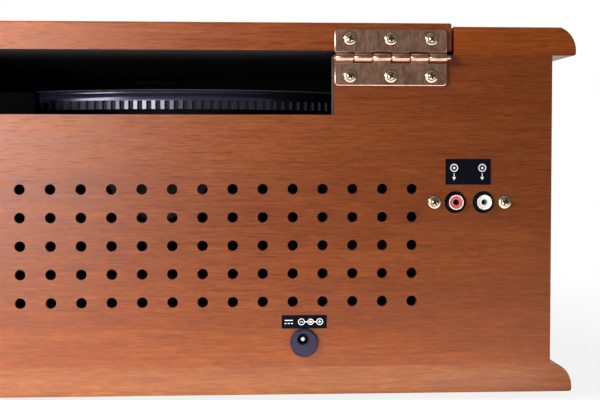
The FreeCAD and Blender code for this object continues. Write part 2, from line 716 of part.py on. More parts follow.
# Line sockets
flange_back = rear_inner - s.flange_thickness
line_spread = s.line_screw_spread
flange = block("line_flange", line_x - line_spread - 3.5, line_x + line_spread + 3.5,
               flange_back, rear_inner, line_z - 9, line_z + 9)
moulding = block("line_moulding", line_x - s.line_pitch, line_x + s.line_pitch,
                 flange_back - 9, flange_back, line_z - 7, line_z + 7)
barrels = []
inserts = []
contacts = []
for label, sign in (("red", 1), ("white", -1)):
    x = line_x + s.line_pitch / 2 * sign
    bore = s.barrel_radius - s.barrel_wall
    length = s.rear_thickness + s.barrel_stand
    barrels.append(tube("line_barrel_" + label, "y", x, rear_inner, line_z, s.barrel_radius, bore, length))
    plug = rod("line_plug_" + label, "y", x, rear_inner, line_z, bore, length - 0.4)
    contact = rod("line_contact_" + label, "y", x, flange_back, line_z, s.contact_radius,
                  length + s.flange_thickness)
    inserts.append(cut("line_out_insert_" + label, plug, contact))
    contacts.append(rod("line_well_" + label, "y", x, flange_back - 6, line_z, s.contact_radius,
                        s.flange_thickness + 7))
for index, sign in enumerate((-1, 1)):
    x = line_x + line_spread * sign
    contacts.append(rod("line_screw_hole_%d" % index, "y", x, flange_back - 1, line_z, s.screw_radius,
                        s.flange_thickness + 2))
    case_screws.append(rear_screw("line_screw_%d" % index, x, rear, line_z))
node(cut("line_out_socket", fuse("line_solid", flange, moulding), *contacts))
node(group("line_out_barrels", *barrels))
node(inserts[0])
node(inserts[1])
node(group("rear_screws", *case_screws))
label_z = line_z + s.line_label_rise
node(block("line_out_label", line_x + 1 - s.line_label_width / 2, line_x + 1 + s.line_label_width / 2,
           rear, rear + s.label_thickness,
           label_z - s.line_label_height / 2, label_z + s.line_label_height / 2))

# Power socket
dc_flange = turned("dc_flange", "y", dc_x, rear, dc_z,
                   [(0, 0), (s.dc_flange_radius, 0), (s.dc_flange_radius, s.dc_flange_height - 0.8),
                    (s.dc_flange_radius - 0.8, s.dc_flange_height), (0, s.dc_flange_height)])
dc_thread = rod("dc_thread", "y", jack_x, rear - s.dc_depth, jack_z, s.dc_thread_radius, s.dc_depth + 1)
dc_bore = rod("dc_bore", "y", jack_x, rear + s.dc_flange_height - 9, jack_z, s.dc_bore_radius, 10)
dc_body = cut("dc_body", fuse("dc_body_solid", dc_flange, dc_thread), dc_bore)
dc_nut = tube("dc_nut", "y", jack_x, rear_inner - 3, jack_z, s.dc_flange_radius, s.dc_thread_radius, 3)
node(group("dc_socket", dc_body, dc_nut))
node(rod("dc_socket_pin", "y", jack_x, rear + s.dc_flange_height - 9, jack_z, s.dc_pin_radius, 8))
label_z = dc_z + s.dc_label_rise
node(block("dc_label", dc_x - s.dc_label_width / 2, dc_x + s.dc_label_width / 2, rear,
           rear + s.label_thickness, label_z - s.dc_label_height / 2, label_z + s.dc_label_height / 2))

# Speakers behind the front panel
wood_screws = []
baskets = []
magnets = []
cones = []
cloths = []
rim_y = front_inner + s.cloth_thickness
metal = s.sheet_metal


def plain_screw(name, axis, x, y, z, into):
    head = rod(name + "_head", axis, x, y, z, s.screw_head_radius, s.screw_head_height)
    if axis == "y":
        shank = rod(name + "_shank", axis, x, as_size(y) - into, z, s.screw_radius, into)
    else:
        shank = rod(name + "_shank", axis, x, y, as_size(z) - into, s.screw_radius, into)
    return fuse(name, head, shank)


for side, sign in (("left", -1), ("right", 1)):
    x = s.speaker_offset * sign
    depth = s.basket_depth
    basket = turned("basket_" + side, "y", x, rim_y, speaker_z,
                    [(s.cone_radius, 0), (s.speaker_radius, 0), (s.speaker_radius, metal),
                     (s.cone_radius + metal, metal), (s.basket_back, depth), (10, depth),
                     (10, depth - metal), (s.basket_back - metal, depth - metal)])
    screw_ring = (s.speaker_radius + s.cone_radius) / 2 + 0.4
    step = (screw_ring * screw_ring - s.grille_pitch * s.grille_pitch).root()
    holes = []
    for index, (across, along) in enumerate(((-1, -1), (1, -1), (1, 1), (-1, 1))):
        screw_x = x + s.grille_pitch * across
        screw_z = speaker_z + step * along
        holes.append(rod("basket_hole_%s_%d" % (side, index), "y", screw_x, rim_y - 1, screw_z,
                         s.screw_radius, metal + 3))
        wood_screws.append(plain_screw("speaker_screw_%s_%d" % (side, index), "y", screw_x,
                                       rim_y + metal + 0.6, screw_z, 9))
    washers = []
    for index, (across, along) in enumerate(((-1, -1), (1, -1), (1, 1), (-1, 1))):
        washers.append(rod("basket_boss_%s_%d" % (side, index), "y", x + s.grille_pitch * across, rim_y,
                           speaker_z + step * along, s.screw_head_radius, metal + 0.6))
    baskets.append(cut("speaker_basket_" + side, fuse("basket_solid_" + side, basket, *washers), *holes))
    magnets.append(rod("magnet_" + side, "y", x, rim_y + depth, speaker_z, s.magnet_radius, s.magnet_height))
    wall = s.cone_wall
    cones.append(turned("cone_" + side, "y", x, rim_y, speaker_z,
                        [(0, 7), (8, 9), (12, depth - 9), (s.cone_radius - 7, 3), (s.cone_radius - 4, 0.4),
                         (s.cone_radius - 1.2, 0.4), (s.cone_radius - 1.2, 0.4 + wall),
                         (s.cone_radius - 3.6, 0.4 + wall),
                         (s.cone_radius - 6.4, 3 + wall), (12, depth - 9 + wall * 1.6),
                         (10.6, depth - 9 + wall * 1.6), (7.4, 9 + wall), (0, 7 + wall)]))
    reach = s.speaker_radius + 4
    cloths.append(block("grille_cloth_" + side, x - reach, x + reach, front_inner, rim_y,
                        speaker_z - reach - 1, speaker_z + reach - 1))
node(group("speaker_baskets", *baskets))
node(group("speaker_magnets", *magnets))
node(group("speaker_cones", *cones))
node(group("grille_cloths", *cloths))

# Dial with its pointer, cord and tuning capacitor
sleeve = s.dial_hole
sleeve_bore = sleeve - s.bezel_wall
stand = s.bezel_stand
node(turned("dial_bezel", "y", 0, front, dial_z,
            [(sleeve_bore - 2, -stand), (sleeve + s.bezel_rim - 2.5, -stand), (sleeve + s.bezel_rim, 2.5 - stand),
             (sleeve + s.bezel_rim, 0), (sleeve, 0), (sleeve, s.dial_set_back),
             (sleeve_bore, s.dial_set_back), (sleeve_bore, 1.5 - stand), (sleeve_bore - 2, 1.5 - stand)],
            {1: as_size(2.5)}))
node(rod("dial_glass", "y", 0, front + 1.5 - stand, dial_z, sleeve_bore, s.glass_thickness))
plate_y = front + s.dial_set_back
node(tube("dial_plate", "y", 0, plate_y, dial_z, sleeve, s.pointer_shaft + 0.6, s.dial_plate_thickness))

drum_y = front_inner + 3
bracket_y = front_inner + 7.5
needle_y = front + 3.5
hub = rod("pointer_hub", "y", 0, needle_y - 0.5, dial_z, 4, 2)
needle = block("pointer_needle", -0.8, 0.8, needle_y, needle_y + 0.8, dial_z - 9, dial_z + s.pointer_length)
pointer_axle = rod("pointer_axle", "y", 0, needle_y, dial_z, s.pointer_shaft,
                   bracket_y + s.pointer_axle_tail - needle_y)
pointer_drum = rod("pointer_drum_disc", "y", 0, drum_y, dial_z, s.pointer_drum, 3)
node(fuse("dial_pointer", hub, needle, pointer_axle, pointer_drum))

bracket_half = s.dial_hole + 8
bracket_low = dial_z - s.bracket_height / 2
bracket_high = dial_z + s.bracket_height / 2
bracket_back = bracket_y + s.bracket_metal
bracket_plate = block("bracket_plate", -bracket_half, bracket_half, bracket_y, bracket_back,
                      bracket_low, bracket_high)
bracket_legs = [
    block("bracket_leg_left", -bracket_half, s.bracket_metal - bracket_half, front_inner, bracket_back,
          bracket_low, bracket_high),
    block("bracket_leg_right", bracket_half - s.bracket_metal, bracket_half, front_inner, bracket_back,
          bracket_low, bracket_high),
]
case_half = s.capacitor_side / 2
capacitor_can = block("capacitor_can", -case_half, case_half, bracket_back, bracket_back + s.capacitor_depth,
                      dial_z - case_half, dial_z + case_half)
capacitor_bore = rod("capacitor_bore", "y", 0, bracket_y - 1, dial_z,
                     s.pointer_shaft + s.pin_clearance, 16)
node(cut("tuning_capacitor", fuse("capacitor_solid", bracket_plate, capacitor_can, *bracket_legs),
         capacitor_bore))


# Outside line of a band round a large wheel at the origin and a small one at a distance below it
def band_outline(sketch, wheel, small_wheel, distance):
    lean = (wheel - small_wheel) / distance
    spread = (1 - lean * lean).root()
    outline(sketch,
            [(wheel * spread, -wheel * lean), (0, wheel), (-wheel * spread, -wheel * lean),
             (-small_wheel * spread, -distance - small_wheel * lean),
             (small_wheel * spread, -distance - small_wheel * lean)],
            {0: wheel, 1: wheel, 3: small_wheel})


# Band round two wheels, padded to its width
def band(name, plane, wheel, small_wheel, distance, clearance, thickness, width):
    body = doc.addObject("PartDesign::Body", name)
    outer = body_sketch(body, plane, name + "_outside")
    band_outline(outer, wheel + clearance + thickness, small_wheel + clearance + thickness, distance)
    pad(body, outer, width)
    inner = body_sketch(body, plane, name + "_inside")
    band_outline(inner, wheel + clearance, small_wheel + clearance, distance)
    pocket(body, inner)
    return body


dial_cord = node(band("dial_cord", "XZ_Plane", s.pointer_drum, s.tuning_drum, s.dial_height - s.knob_row,
                      s.belt_clearance, s.cord_thickness, as_size(1)))
move_to(dial_cord, 0, drum_y + 2, dial_z)

# Knobs with their shafts, and the controls that they turn
controls = []
knob_front = front - s.knob_projection
bore = s.shaft_radius + s.pin_clearance
for name, x, radius, can, can_depth in (
        ("volume", -s.knob_spacing, s.knob_radius, 8.5, 10),
        ("function", s.knob_spacing, s.knob_radius, 12, 12),
        ("tuning", as_size(0), s.tuning_knob_radius, 8, 1.2)):
    length = s.knob_projection - s.knob_stand
    cap = turned(name + "_cap", "y", x, knob_front, knob_z,
                 [(0, 0.8), (radius - 6, 0.8), (radius - 4.5, 0), (radius - 2.5, 0), (radius - 1, 1.5),
                  (radius, length - 4), (radius, length), (0, length)],
                 {3: as_size(2.4)})
    if name == "tuning":
        shaft = rod("tuning_shaft", "y", x, knob_front + length - 1, knob_z, s.shaft_radius,
                    drum_y + 3 - knob_front - length + 1)
        drum = rod("tuning_drum_disc", "y", x, drum_y, knob_z, s.tuning_drum, 3)
        node(fuse("tuning_knob", cap, shaft, drum))
    else:
        shaft = rod(name + "_shaft", "y", x, knob_front + length - 1, knob_z, s.shaft_radius,
                    front_inner + 6 - knob_front - length + 1)
        node(fuse(name + "_knob", cap, shaft))
    bush = rod(name + "_bush", "y", x, front - s.knob_stand + 0.5, knob_z, s.bush_radius,
               front_inner - front + s.knob_stand)
    washer = rod(name + "_can", "y", x, front_inner, knob_z, can, can_depth)
    well = rod(name + "_well", "y", x, front - s.knob_stand - 1, knob_z, bore,
               front_inner + 6.2 - front + s.knob_stand + 1)
    controls.append(cut(name + "_control", fuse(name + "_control_solid", bush, washer), well))
node(group("control_bodies", *controls))

node(turned("power_lamp", "y", lamp_x, front, lamp_z,
            [(0, -3), (1.6, -2.7), (3, -1.5), (s.lamp_radius + 1.2, -1), (s.lamp_radius + 1.2, 0),
             (s.lamp_radius, 0), (s.lamp_radius, s.wall_thickness), (0, s.wall_thickness)]))

# Circuit board on the base
board_low = base_top + s.board_stand
board_top = board_low + s.board_thickness
board_left = -s.board_width / 2
board_front = as_size(-25)
board_pieces = [block("board_sheet", board_left, -board_left, board_front, board_front + s.board_depth,
                      board_low, board_top)]
for index, (across, along) in enumerate(((0, 0), (1, 0), (1, 1), (0, 1))):
    board_pieces.append(rod("board_post_%d" % index, "z",
                            board_left + 6 + (s.board_width - 12) * across,
                            board_front + 6 + (s.board_depth - 12) * along,
                            base_top, 3.5, s.board_stand))
for index, (x, y, radius, height) in enumerate((
        (-40, 6, 6.5, 22), (-24, 6, 6.5, 22), (-40, 22, 5, 16), (20, 10, 4, 12), (32, 10, 4, 12))):
    board_pieces.append(rod("board_capacitor_%d" % index, "z", x, board_front + y + 6, board_top, radius, height))
board_pieces.append(block("board_heat_sink", -20, 30, board_front + 50, board_front + 66, board_top,
                          board_top + 28))
board_pieces.append(block("board_tuner_can", 34, 58, board_front + 28, board_front + 60, board_top,
                          board_top + 12))
board_pieces.append(block("board_connector", -58, -30, board_front + 70, board_front + 80, board_top,
                          board_top + 9))
node(group("main_board", *board_pieces))

# Turntable deck with the holes for what passes through it
platter_x = -s.platter_shift
platter_y = rear - s.platter_set_back
motor_x = platter_x - s.motor_distance
arm_x = platter_x + s.arm_reach
arm_y = rear - s.arm_set_back
switch_x = s.switch_offset
deck_front = front_inner + s.deck_gap
deck_rear = rear_inner - s.deck_gap
deck_half = inner_half - s.deck_gap
speed_y = deck_front + s.speed_position + s.switch_travel * 5
stop_y = speed_y - s.switch_travel * 3
adapter_x = platter_x - s.platter_radius * 0.87
adapter_y = platter_y - s.platter_radius * 0.87
deck_sheet = block("deck_sheet", -deck_half, deck_half, deck_front, deck_rear, deck_bottom, deck_top)
adapter_peg = rod("adapter_peg", "z", adapter_x, adapter_y, deck_bottom, 3.4, s.deck_thickness + 6)
deck_tools = [
    rod("bush_hole", "z", platter_x, platter_y, deck_bottom - 1, s.spindle_shaft + s.bush_wall,
        s.deck_thickness + 2),
    rod("pulley_hole", "z", motor_x, platter_y, deck_bottom - 1, 4, s.deck_thickness + 2),
]
stem = as_size(3)
for name, y in (("speed", speed_y), ("stop", stop_y)):
    reach = s.switch_travel / 2 + 3
    deck_tools.append(block(name + "_slot", switch_x - stem / 2 - 0.3, switch_x + stem / 2 + 0.3,
                            y - reach, y + reach, deck_bottom - 1, deck_top + 1))
for index, (across, along) in enumerate(((-1, -1), (1, -1), (1, 1), (-1, 1))):
    x = (inner_half - s.cleat_side / 2) * across
    y = platter_y + s.cabinet_depth * 0.28 * along
    deck_tools.append(rod("deck_hole_%d" % index, "z", x, y, deck_bottom - 1, s.screw_radius + 0.3,
                          s.deck_thickness + 2))
    wood_screws.append(plain_screw("deck_screw_%d" % index, "z", x, y, deck_top, 12))
deck_tools.append(rod("drum_relief", "y", 0, front_inner - 1, dial_z,
                      s.pointer_drum + s.cord_thickness + s.drum_clearance,
                      drum_y + 4 + s.drum_clearance - front_inner))
node(cut("turntable_deck", fuse("deck_solid", deck_sheet, adapter_peg), *deck_tools))

# Spindle bearing, spindle and platter
flange_top = s.bush_flange_height
rim_bottom = s.rim_clear
rib_top = rim_bottom + s.rib_height
rim_top = rib_top + s.shoulder_radius
seat = rim_top - s.mat_recess
bush_bore = s.spindle_shaft + s.pin_clearance
node(turned("spindle_bush", "z", platter_x, platter_y, deck_top,
            [(bush_bore, 2 - s.bush_depth), (s.spindle_shaft + s.bush_wall, 2 - s.bush_depth),
             (s.spindle_shaft + s.bush_wall, 0), (s.bush_flange, 0), (s.bush_flange, flange_top),
             (bush_bore, flange_top)]))
tip = s.spindle_tip
groove_top = seat + s.mat_thickness + s.spindle_relief_rise
groove = s.spindle_radius - s.spindle_relief
node(turned("spindle", "z", platter_x, platter_y, deck_top,
            [(0, -s.bush_depth), (s.spindle_shaft, -s.bush_depth), (s.spindle_shaft, seat),
             (groove, seat), (groove, groove_top),
             (s.spindle_radius, groove_top), (s.spindle_radius, s.spindle_stand - tip),
             (s.spindle_radius - tip, s.spindle_stand), (0, s.spindle_stand)],
            {6: tip}))

web = seat - s.web_thickness
root = s.platter_radius - s.rib_depth
rim_in = s.platter_radius - s.rim_wall - s.rib_depth
land = s.platter_radius - s.shoulder_radius
ring = s.belt_ring
hub_bottom = flange_top + s.hub_play
platter_disc = turned("platter_disc", "z", platter_x, platter_y, deck_top,
                      [(s.spindle_shaft, hub_bottom), (s.hub_radius, hub_bottom), (s.hub_radius, web),
                       (ring - s.belt_ring_wall, web), (ring - s.belt_ring_wall, flange_top),
                       (ring, flange_top), (ring, web), (rim_in, web), (rim_in, rim_bottom),
                       (root, rim_bottom), (root, rib_top), (s.platter_radius, rib_top), (land, rim_top),
                       (land - s.rim_land, rim_top), (land - s.rim_land, seat), (s.spindle_shaft, seat)],
                      {11: s.shoulder_radius})

# Ribbed band of the rim: one closed line that steps in and out round the circle
rib_points = []
rib_number = int(round(s.rib_count.value))
for rib in range(rib_number):
    for part_of_pitch, radius in ((0.0, root), (0.34, root), (0.46, s.platter_radius), (0.88, s.platter_radius)):
        angle = 2 * math.pi * (rib + part_of_pitch) / rib_number
        rib_points.append(FreeCAD.Vector(radius.value * math.cos(angle), radius.value * math.sin(angle), 0))
rib_disc = Part.Face(Part.makePolygon(rib_points + rib_points[:1]))
rib_face = rib_disc.cut(Part.Face(Part.Wire(Part.makeCircle(root.value - 1.5))))
rib_band = doc.addObject("Part::Feature", "rib_band")
rib_band.Shape = rib_face.extrude(FreeCAD.Vector(0, 0, s.rib_height.value))
move_to(rib_band, platter_x, platter_y, deck_top + rim_bottom)
node(fuse("platter", platter_disc, rib_band)).Refine = False

node(tube("platter_mat", "z", platter_x, platter_y, deck_top + seat, land - s.rim_land - s.mat_gap,
          s.spindle_radius + s.mat_gap, s.mat_thickness))

# Motor, pulley and belt
motor_top = deck_bottom - s.motor_drop
motor_can = rod("motor_can", "z", motor_x, platter_y, motor_top - s.motor_height, s.motor_radius, s.motor_height)
motor_lugs = block("motor_lugs", motor_x - s.motor_radius - 8, motor_x + s.motor_radius + 8,
                   platter_y - 6, platter_y + 6, motor_top - 1.5, deck_bottom)
motor_gap = rod("motor_gap", "z", motor_x, platter_y, motor_top, s.motor_radius - 2, s.motor_drop + 1)
motor_bore = rod("motor_bore", "z", motor_x, platter_y, motor_top - 14, s.motor_shaft + s.pin_clearance, 20)
node(cut("drive_motor", fuse("motor_solid", motor_can, motor_lugs), motor_gap, motor_bore))
pulley_low = deck_top + flange_top
pulley_wheel = rod("pulley_wheel", "z", motor_x, platter_y, pulley_low, s.pulley_radius, s.belt_height + 2.5)
pulley_shaft = rod("pulley_shaft", "z", motor_x, platter_y, motor_top - 13, s.motor_shaft,
                   pulley_low + 1 - motor_top + 13)
node(fuse("motor_pulley", pulley_wheel, pulley_shaft))
drive_belt = node(band("drive_belt", "XY_Plane", s.belt_ring, s.pulley_radius, s.motor_distance,
                       s.belt_clearance, s.belt_thickness, s.belt_height))
drive_belt.Placement = FreeCAD.Placement(FreeCAD.Vector(), FreeCAD.Rotation(FreeCAD.Vector(0, 0, 1), -90))
move_to(drive_belt, platter_x, platter_y, pulley_low + 1)

# Tonearm
arm_z = deck_top + s.arm_height
base_height = s.arm_base_height
column = rod("arm_column", "z", arm_x, arm_y, deck_top, s.arm_base_radius, base_height)
bar_guide = rod("bar_guide", "z", arm_x, arm_y - s.cue_distance, deck_top, 5, base_height)
cue_lug = block("cue_lug", arm_x + 10, arm_x + 21, arm_y - 5, arm_y + 5, deck_top, deck_top + base_height + 5)
cue_z = deck_top + base_height
turret_well = rod("turret_well", "z", arm_x, arm_y, deck_top + 1, s.arm_radius + s.pin_clearance, base_height)
bar_well = rod("bar_well", "z", arm_x, arm_y - s.cue_distance, deck_top + 1, 2 + s.pin_clearance, base_height)
cue_well = rod("cue_well", "x", arm_x + 14.5, arm_y, cue_z, 2 + s.pin_clearance, 10)
turret_room = rod("turret_room", "z", arm_x, arm_y, deck_top + base_height, s.arm_base_radius, 10)
arm_stand = cut("arm_stand", fuse("arm_base_solid", column, bar_guide, cue_lug), turret_well, bar_well, cue_well,
                turret_room)
plinth_rear = rear - s.plinth_inset
plinth_front = plinth_rear - s.plinth_depth
plinth_top = deck_top + s.plinth_height
plinth_round = s.plinth_round
stop_cover = drawn("stop_cover", "yz",
                   [(plinth_front, deck_top), (plinth_rear, deck_top), (plinth_rear, plinth_top - plinth_round),
                    (plinth_rear - plinth_round, plinth_top), (plinth_front + plinth_round, plinth_top),
                    (plinth_front, plinth_top - plinth_round)],
                   {2: plinth_round, 4: plinth_round}, arm_x - s.plinth_reach, s.plinth_width)
node(group("tonearm_base", arm_stand, stop_cover))

turret_low = deck_top + base_height + 0.1
turret_stem = rod("turret_stem", "z", arm_x, arm_y, deck_top + 1.2, s.arm_radius, base_height)
turret_disc = rod("turret_disc", "z", arm_x, arm_y, turret_low, s.arm_base_radius - 2, 3)
cheeks = [
    block("turret_cheek_left", arm_x - 10, arm_x - 7, arm_y - 5, arm_y + 5, turret_low + 2, arm_z + 4.5),
    block("turret_cheek_right", arm_x + 7, arm_x + 10, arm_y - 5, arm_y + 5, turret_low + 2, arm_z + 4.5),
]
turret_bore = rod("turret_bore", "x", arm_x - 11, arm_y, arm_z, s.arm_pin_radius + s.pin_clearance, 22)
node(cut("tonearm_turret", fuse("turret_solid", turret_stem, turret_disc, *cheeks), turret_bore))

arm_tail_end = arm_y + s.arm_tail
arm_rod = rod("arm_rod", "y", arm_x, arm_y - s.arm_length, arm_z, s.arm_radius, s.arm_length + s.arm_tail)
arm_block = block("arm_block", arm_x - 6.6, arm_x + 6.6, arm_y - 6, arm_y + 6, arm_z - 5, arm_z + 5)
arm_pin = rod("arm_pin", "x", arm_x - s.arm_pin_reach, arm_y, arm_z, s.arm_pin_radius, s.arm_pin_reach * 2)
node(fuse("tonearm_tube", arm_rod, arm_block, arm_pin))
node(tube("counterweight", "y", arm_x, arm_tail_end - s.counterweight_length, arm_z, s.counterweight_radius,
          s.arm_radius, s.counterweight_length))

shell_end = arm_y - s.arm_length
shell_low = arm_z - s.headshell_thickness / 2
shell_turn = FreeCAD.Placement(FreeCAD.Vector(), FreeCAD.Rotation(FreeCAD.Vector(0, 0, -1), 1))
half_shell = s.headshell_width / 2
shell_plate = doc.addObject("PartDesign::Body", "shell_plate")
shell_face = body_sketch(shell_plate, "XY_Plane", "shell_face")
outline(shell_face,
        [(-4.5, 4), (-half_shell, -10), (-half_shell, 3 - s.headshell_length),
         (3 - half_shell, -s.headshell_length), (half_shell - 3, -s.headshell_length),
         (half_shell, 3 - s.headshell_length), (half_shell, -10), (4.5, 4)],
        {2: as_size(3), 4: as_size(3)})
pad(shell_plate, shell_face, s.headshell_thickness)
cartridge_body = doc.addObject("PartDesign::Body", "cartridge_body")
cartridge_face = body_sketch(cartridge_body, "XY_Plane", "cartridge_face")
outline(cartridge_face,
        [(-6, 6 - s.headshell_length), (6, 6 - s.headshell_length), (6, 28 - s.headshell_length),
         (-6, 28 - s.headshell_length)])
pad(cartridge_body, cartridge_face, s.cartridge_height, upward=False)
stylus_body = doc.addObject("PartDesign::Body", "stylus_body")
stylus_face = body_sketch(stylus_body, "YZ_Plane", "stylus_face")
outline(stylus_face,
        [(8 - s.headshell_length, -s.cartridge_height + 1), (14 - s.headshell_length, -s.cartridge_height + 1),
         (9.4 - s.headshell_length, -s.cartridge_height - s.stylus_height),
         (8.6 - s.headshell_length, -s.cartridge_height - s.stylus_height)])
pad(stylus_body, stylus_face, as_size(1))
for piece in (shell_plate, cartridge_body, stylus_body):
    piece.Placement = shell_turn
    piece.setExpression("Placement.Rotation.Angle", s.headshell_angle.text)
    move_to(piece, arm_x, shell_end - 2, shell_low)
collar = rod("shell_collar", "y", arm_x, shell_end - 3, arm_z, s.arm_radius + 1.2, 12)
collar_bore = rod("shell_bore", "y", arm_x, shell_end, arm_z, s.arm_radius, 20)
node(cut("headshell", fuse("shell_solid", shell_plate, collar), collar_bore))
node(fuse("cartridge", cartridge_body, stylus_body))

rest_y = arm_y - s.rest_distance
arm_low = arm_z - s.arm_radius
rest_post = rod("rest_post", "z", arm_x, rest_y, deck_top, 4, s.arm_height - s.arm_radius - 1)
rest_foot = rod("rest_foot", "z", arm_x, rest_y, deck_top, 8, 2)
rest_ledge = block("rest_ledge", arm_x - 6, arm_x + 8, rest_y - 4, rest_y + 4, arm_low - 3, arm_low - 0.05)
rest_stop = block("rest_stop", arm_x + s.arm_radius + 0.6, arm_x + 8, rest_y - 4, rest_y + 4, arm_low - 3, arm_z + 3)
node(fuse("arm_rest", rest_post, rest_foot, rest_ledge, rest_stop))

bar_top = arm_low - 0.3
bar_stem = rod("bar_stem", "z", arm_x, arm_y - s.cue_distance, deck_top + 1.2, 2, bar_top - deck_top - 2.2)
bar_cross = block("bar_cross", arm_x - 17, arm_x + 5, arm_y - s.cue_distance - 2, arm_y - s.cue_distance + 2,
                  bar_top - 2, bar_top)
node(fuse("cue_lift_bar", bar_stem, bar_cross))
lever_x = arm_x + 21.2
lever_pin = rod("lever_pin", "x", arm_x + 15, arm_y, cue_z, 2, 8)
lever_boss = rod("lever_boss", "x", lever_x, arm_y, cue_z, 3.5, 4)
lever_stick = block("lever_stick", lever_x, lever_x + 4, arm_y - s.cue_length, arm_y, cue_z - 1.5, cue_z + 1.5)
lever_tip = rod("lever_tip", "x", lever_x, arm_y - s.cue_length, cue_z, 3, 6)
node(fuse("cue_lever", lever_pin, lever_boss, lever_stick, lever_tip))

# Deck switches and the adapter on its peg
for name, y in (("speed", speed_y), ("stop", stop_y)):
    cap = block(name + "_cap", switch_x - 5.5, switch_x + 5.5, y - 5, y + 5, deck_top + 0.2, deck_top + 6.2)
    post = block(name + "_post", switch_x - stem / 2, switch_x + stem / 2, y - 2.5, y + 2.5,
                 deck_bottom - 4, deck_top + 1)
    plate = block(name + "_keeper", switch_x - 4.5, switch_x + 4.5, y - 4, y + 4, deck_bottom - 4,
                  deck_bottom - 0.2)
    node(fuse(name + "_lever", cap, post, plate))
node(tube("record_adapter", "z", adapter_x, adapter_y, deck_top, s.adapter_radius, as_size(3.6), s.adapter_height))

# Rubber feet and their screws
feet = []
for index, (across, along) in enumerate(((-1, 0), (1, 0), (1, 1), (-1, 1))):
    x = (half - s.foot_inset) * across
    y = front + s.foot_inset + (s.cabinet_depth - s.foot_inset * 2) * along
    disc = taper("foot_disc_%d" % index, "z", x, y, 0, s.foot_radius - 1.5, s.foot_radius, s.foot_height)
    recess = rod("foot_recess_%d" % index, "z", x, y, -1, s.screw_head_radius + 0.8, s.foot_height * 0.65 + 1)
    shank_hole = rod("foot_hole_%d" % index, "z", x, y, -1, s.screw_radius, s.foot_height + 2)
    feet.append(cut("foot_%d" % index, disc, recess, shank_hole))
    head = rod("foot_screw_head_%d" % index, "z", x, y, s.foot_height * 0.65 - s.screw_head_height,
               s.screw_head_radius, s.screw_head_height)
    shank = rod("foot_screw_shank_%d" % index, "z", x, y, s.foot_height * 0.65, s.screw_radius, 12)
    wood_screws.append(fuse("foot_screw_%d" % index, head, shank))
node(group("rubber_feet", *feet))
node(group("wood_screws", *wood_screws))

doc.recompute()

os.makedirs("parts", exist_ok=True)
for item in doc.Objects:
    if "Invalid" in item.State or "Error" in item.State:
        raise RuntimeError("%s did not build: %s" % (item.Name, item.State))
for part in nodes:
    shape = part.Shape
    if shape.isNull() or not shape.isValid() or not shape.Solids:
        raise RuntimeError("%s has no valid solid" % part.Name)
for part in nodes:
    part.Shape.exportStep("parts/%s.step" % part.Name)
print("wrote", len(nodes), "pieces")
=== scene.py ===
import math

import bmesh
import bpy
from mathutils import Matrix, Vector


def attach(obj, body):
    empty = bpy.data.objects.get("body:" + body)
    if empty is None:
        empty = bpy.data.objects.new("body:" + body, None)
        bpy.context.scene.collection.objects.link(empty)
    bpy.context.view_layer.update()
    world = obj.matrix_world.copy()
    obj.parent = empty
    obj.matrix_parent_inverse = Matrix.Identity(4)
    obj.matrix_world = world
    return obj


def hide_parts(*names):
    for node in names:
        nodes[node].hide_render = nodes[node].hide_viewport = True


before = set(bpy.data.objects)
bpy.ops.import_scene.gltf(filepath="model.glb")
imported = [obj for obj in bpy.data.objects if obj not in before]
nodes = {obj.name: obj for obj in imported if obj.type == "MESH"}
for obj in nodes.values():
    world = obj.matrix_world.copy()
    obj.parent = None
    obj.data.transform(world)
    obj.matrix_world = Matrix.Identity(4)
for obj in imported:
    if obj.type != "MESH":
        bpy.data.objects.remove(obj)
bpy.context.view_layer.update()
print("frame loaded with", len(nodes), "nodes")


# Node helpers for materials
def newFinish(name):
    finish = bpy.data.materials.new(name)
    finish.use_nodes = True
    tree = finish.node_tree
    tree.nodes.clear()
    shader = tree.nodes.new("ShaderNodeBsdfPrincipled")
    output = tree.nodes.new("ShaderNodeOutputMaterial")
    tree.links.new(shader.outputs["BSDF"], output.inputs["Surface"])
    return finish, tree, shader


# Link each input to the socket given for it, or set it to the plain value given
def setInputs(tree, node, inputs):
    for key, value in inputs.items():
        if isinstance(value, bpy.types.NodeSocket):
            tree.links.new(value, node.inputs[key])
        else:
            node.inputs[key].default_value = value


def addNode(tree, kind, inputs=None, **settings):
    made = tree.nodes.new(kind)
    for key, value in settings.items():
        setattr(made, key, value)
    setInputs(tree, made, inputs or {})
    return made


# The first output of a new node
def nodeOut(tree, kind, inputs=None, **settings):
    return addNode(tree, kind, inputs, **settings).outputs[0]


def objectPlace(tree, scale=(1, 1, 1), shift=(0, 0, 0)):
    place = addNode(tree, "ShaderNodeTexCoord").outputs["Object"]
    return addNode(tree, "ShaderNodeMapping",
                   {"Vector": place, "Location": shift, "Scale": scale}).outputs["Vector"]


def split(tree, place):
    return addNode(tree, "ShaderNodeSeparateXYZ", {"Vector": place}).outputs


# Most of a noise's values fall in this range
noiseRange = (0.3, 0.7)


def noise(tree, vector, detail=3.0, rough=0.5, warp=0.0):
    made = addNode(tree, "ShaderNodeTexNoise", {"Vector": vector, "Scale": 1.0, "Detail": detail,
                                                "Roughness": rough, "Distortion": warp})
    return made.outputs["Fac"]


def ramp(tree, value, spots, colours):
    made = addNode(tree, "ShaderNodeValToRGB", {"Fac": value})
    points = made.color_ramp.elements
    while len(points) < len(spots):
        points.new(0.5)
    for point, spot, colour in zip(points, spots, colours):
        point.position = spot
        point.color = (*colour, 1.0)
    return made.outputs["Color"]


def spread(tree, value, low, high, outLow=0.0, outHigh=1.0):
    made = addNode(tree, "ShaderNodeMapRange", {"Value": value, "From Min": low, "From Max": high,
                                                "To Min": outLow, "To Max": outHigh})
    return made.outputs["Result"]


def sums(tree, operation, first, second):
    return nodeOut(tree, "ShaderNodeMath", {0: first, 1: second}, operation=operation)


def times(tree, first, second):
    return sums(tree, "MULTIPLY", first, second)


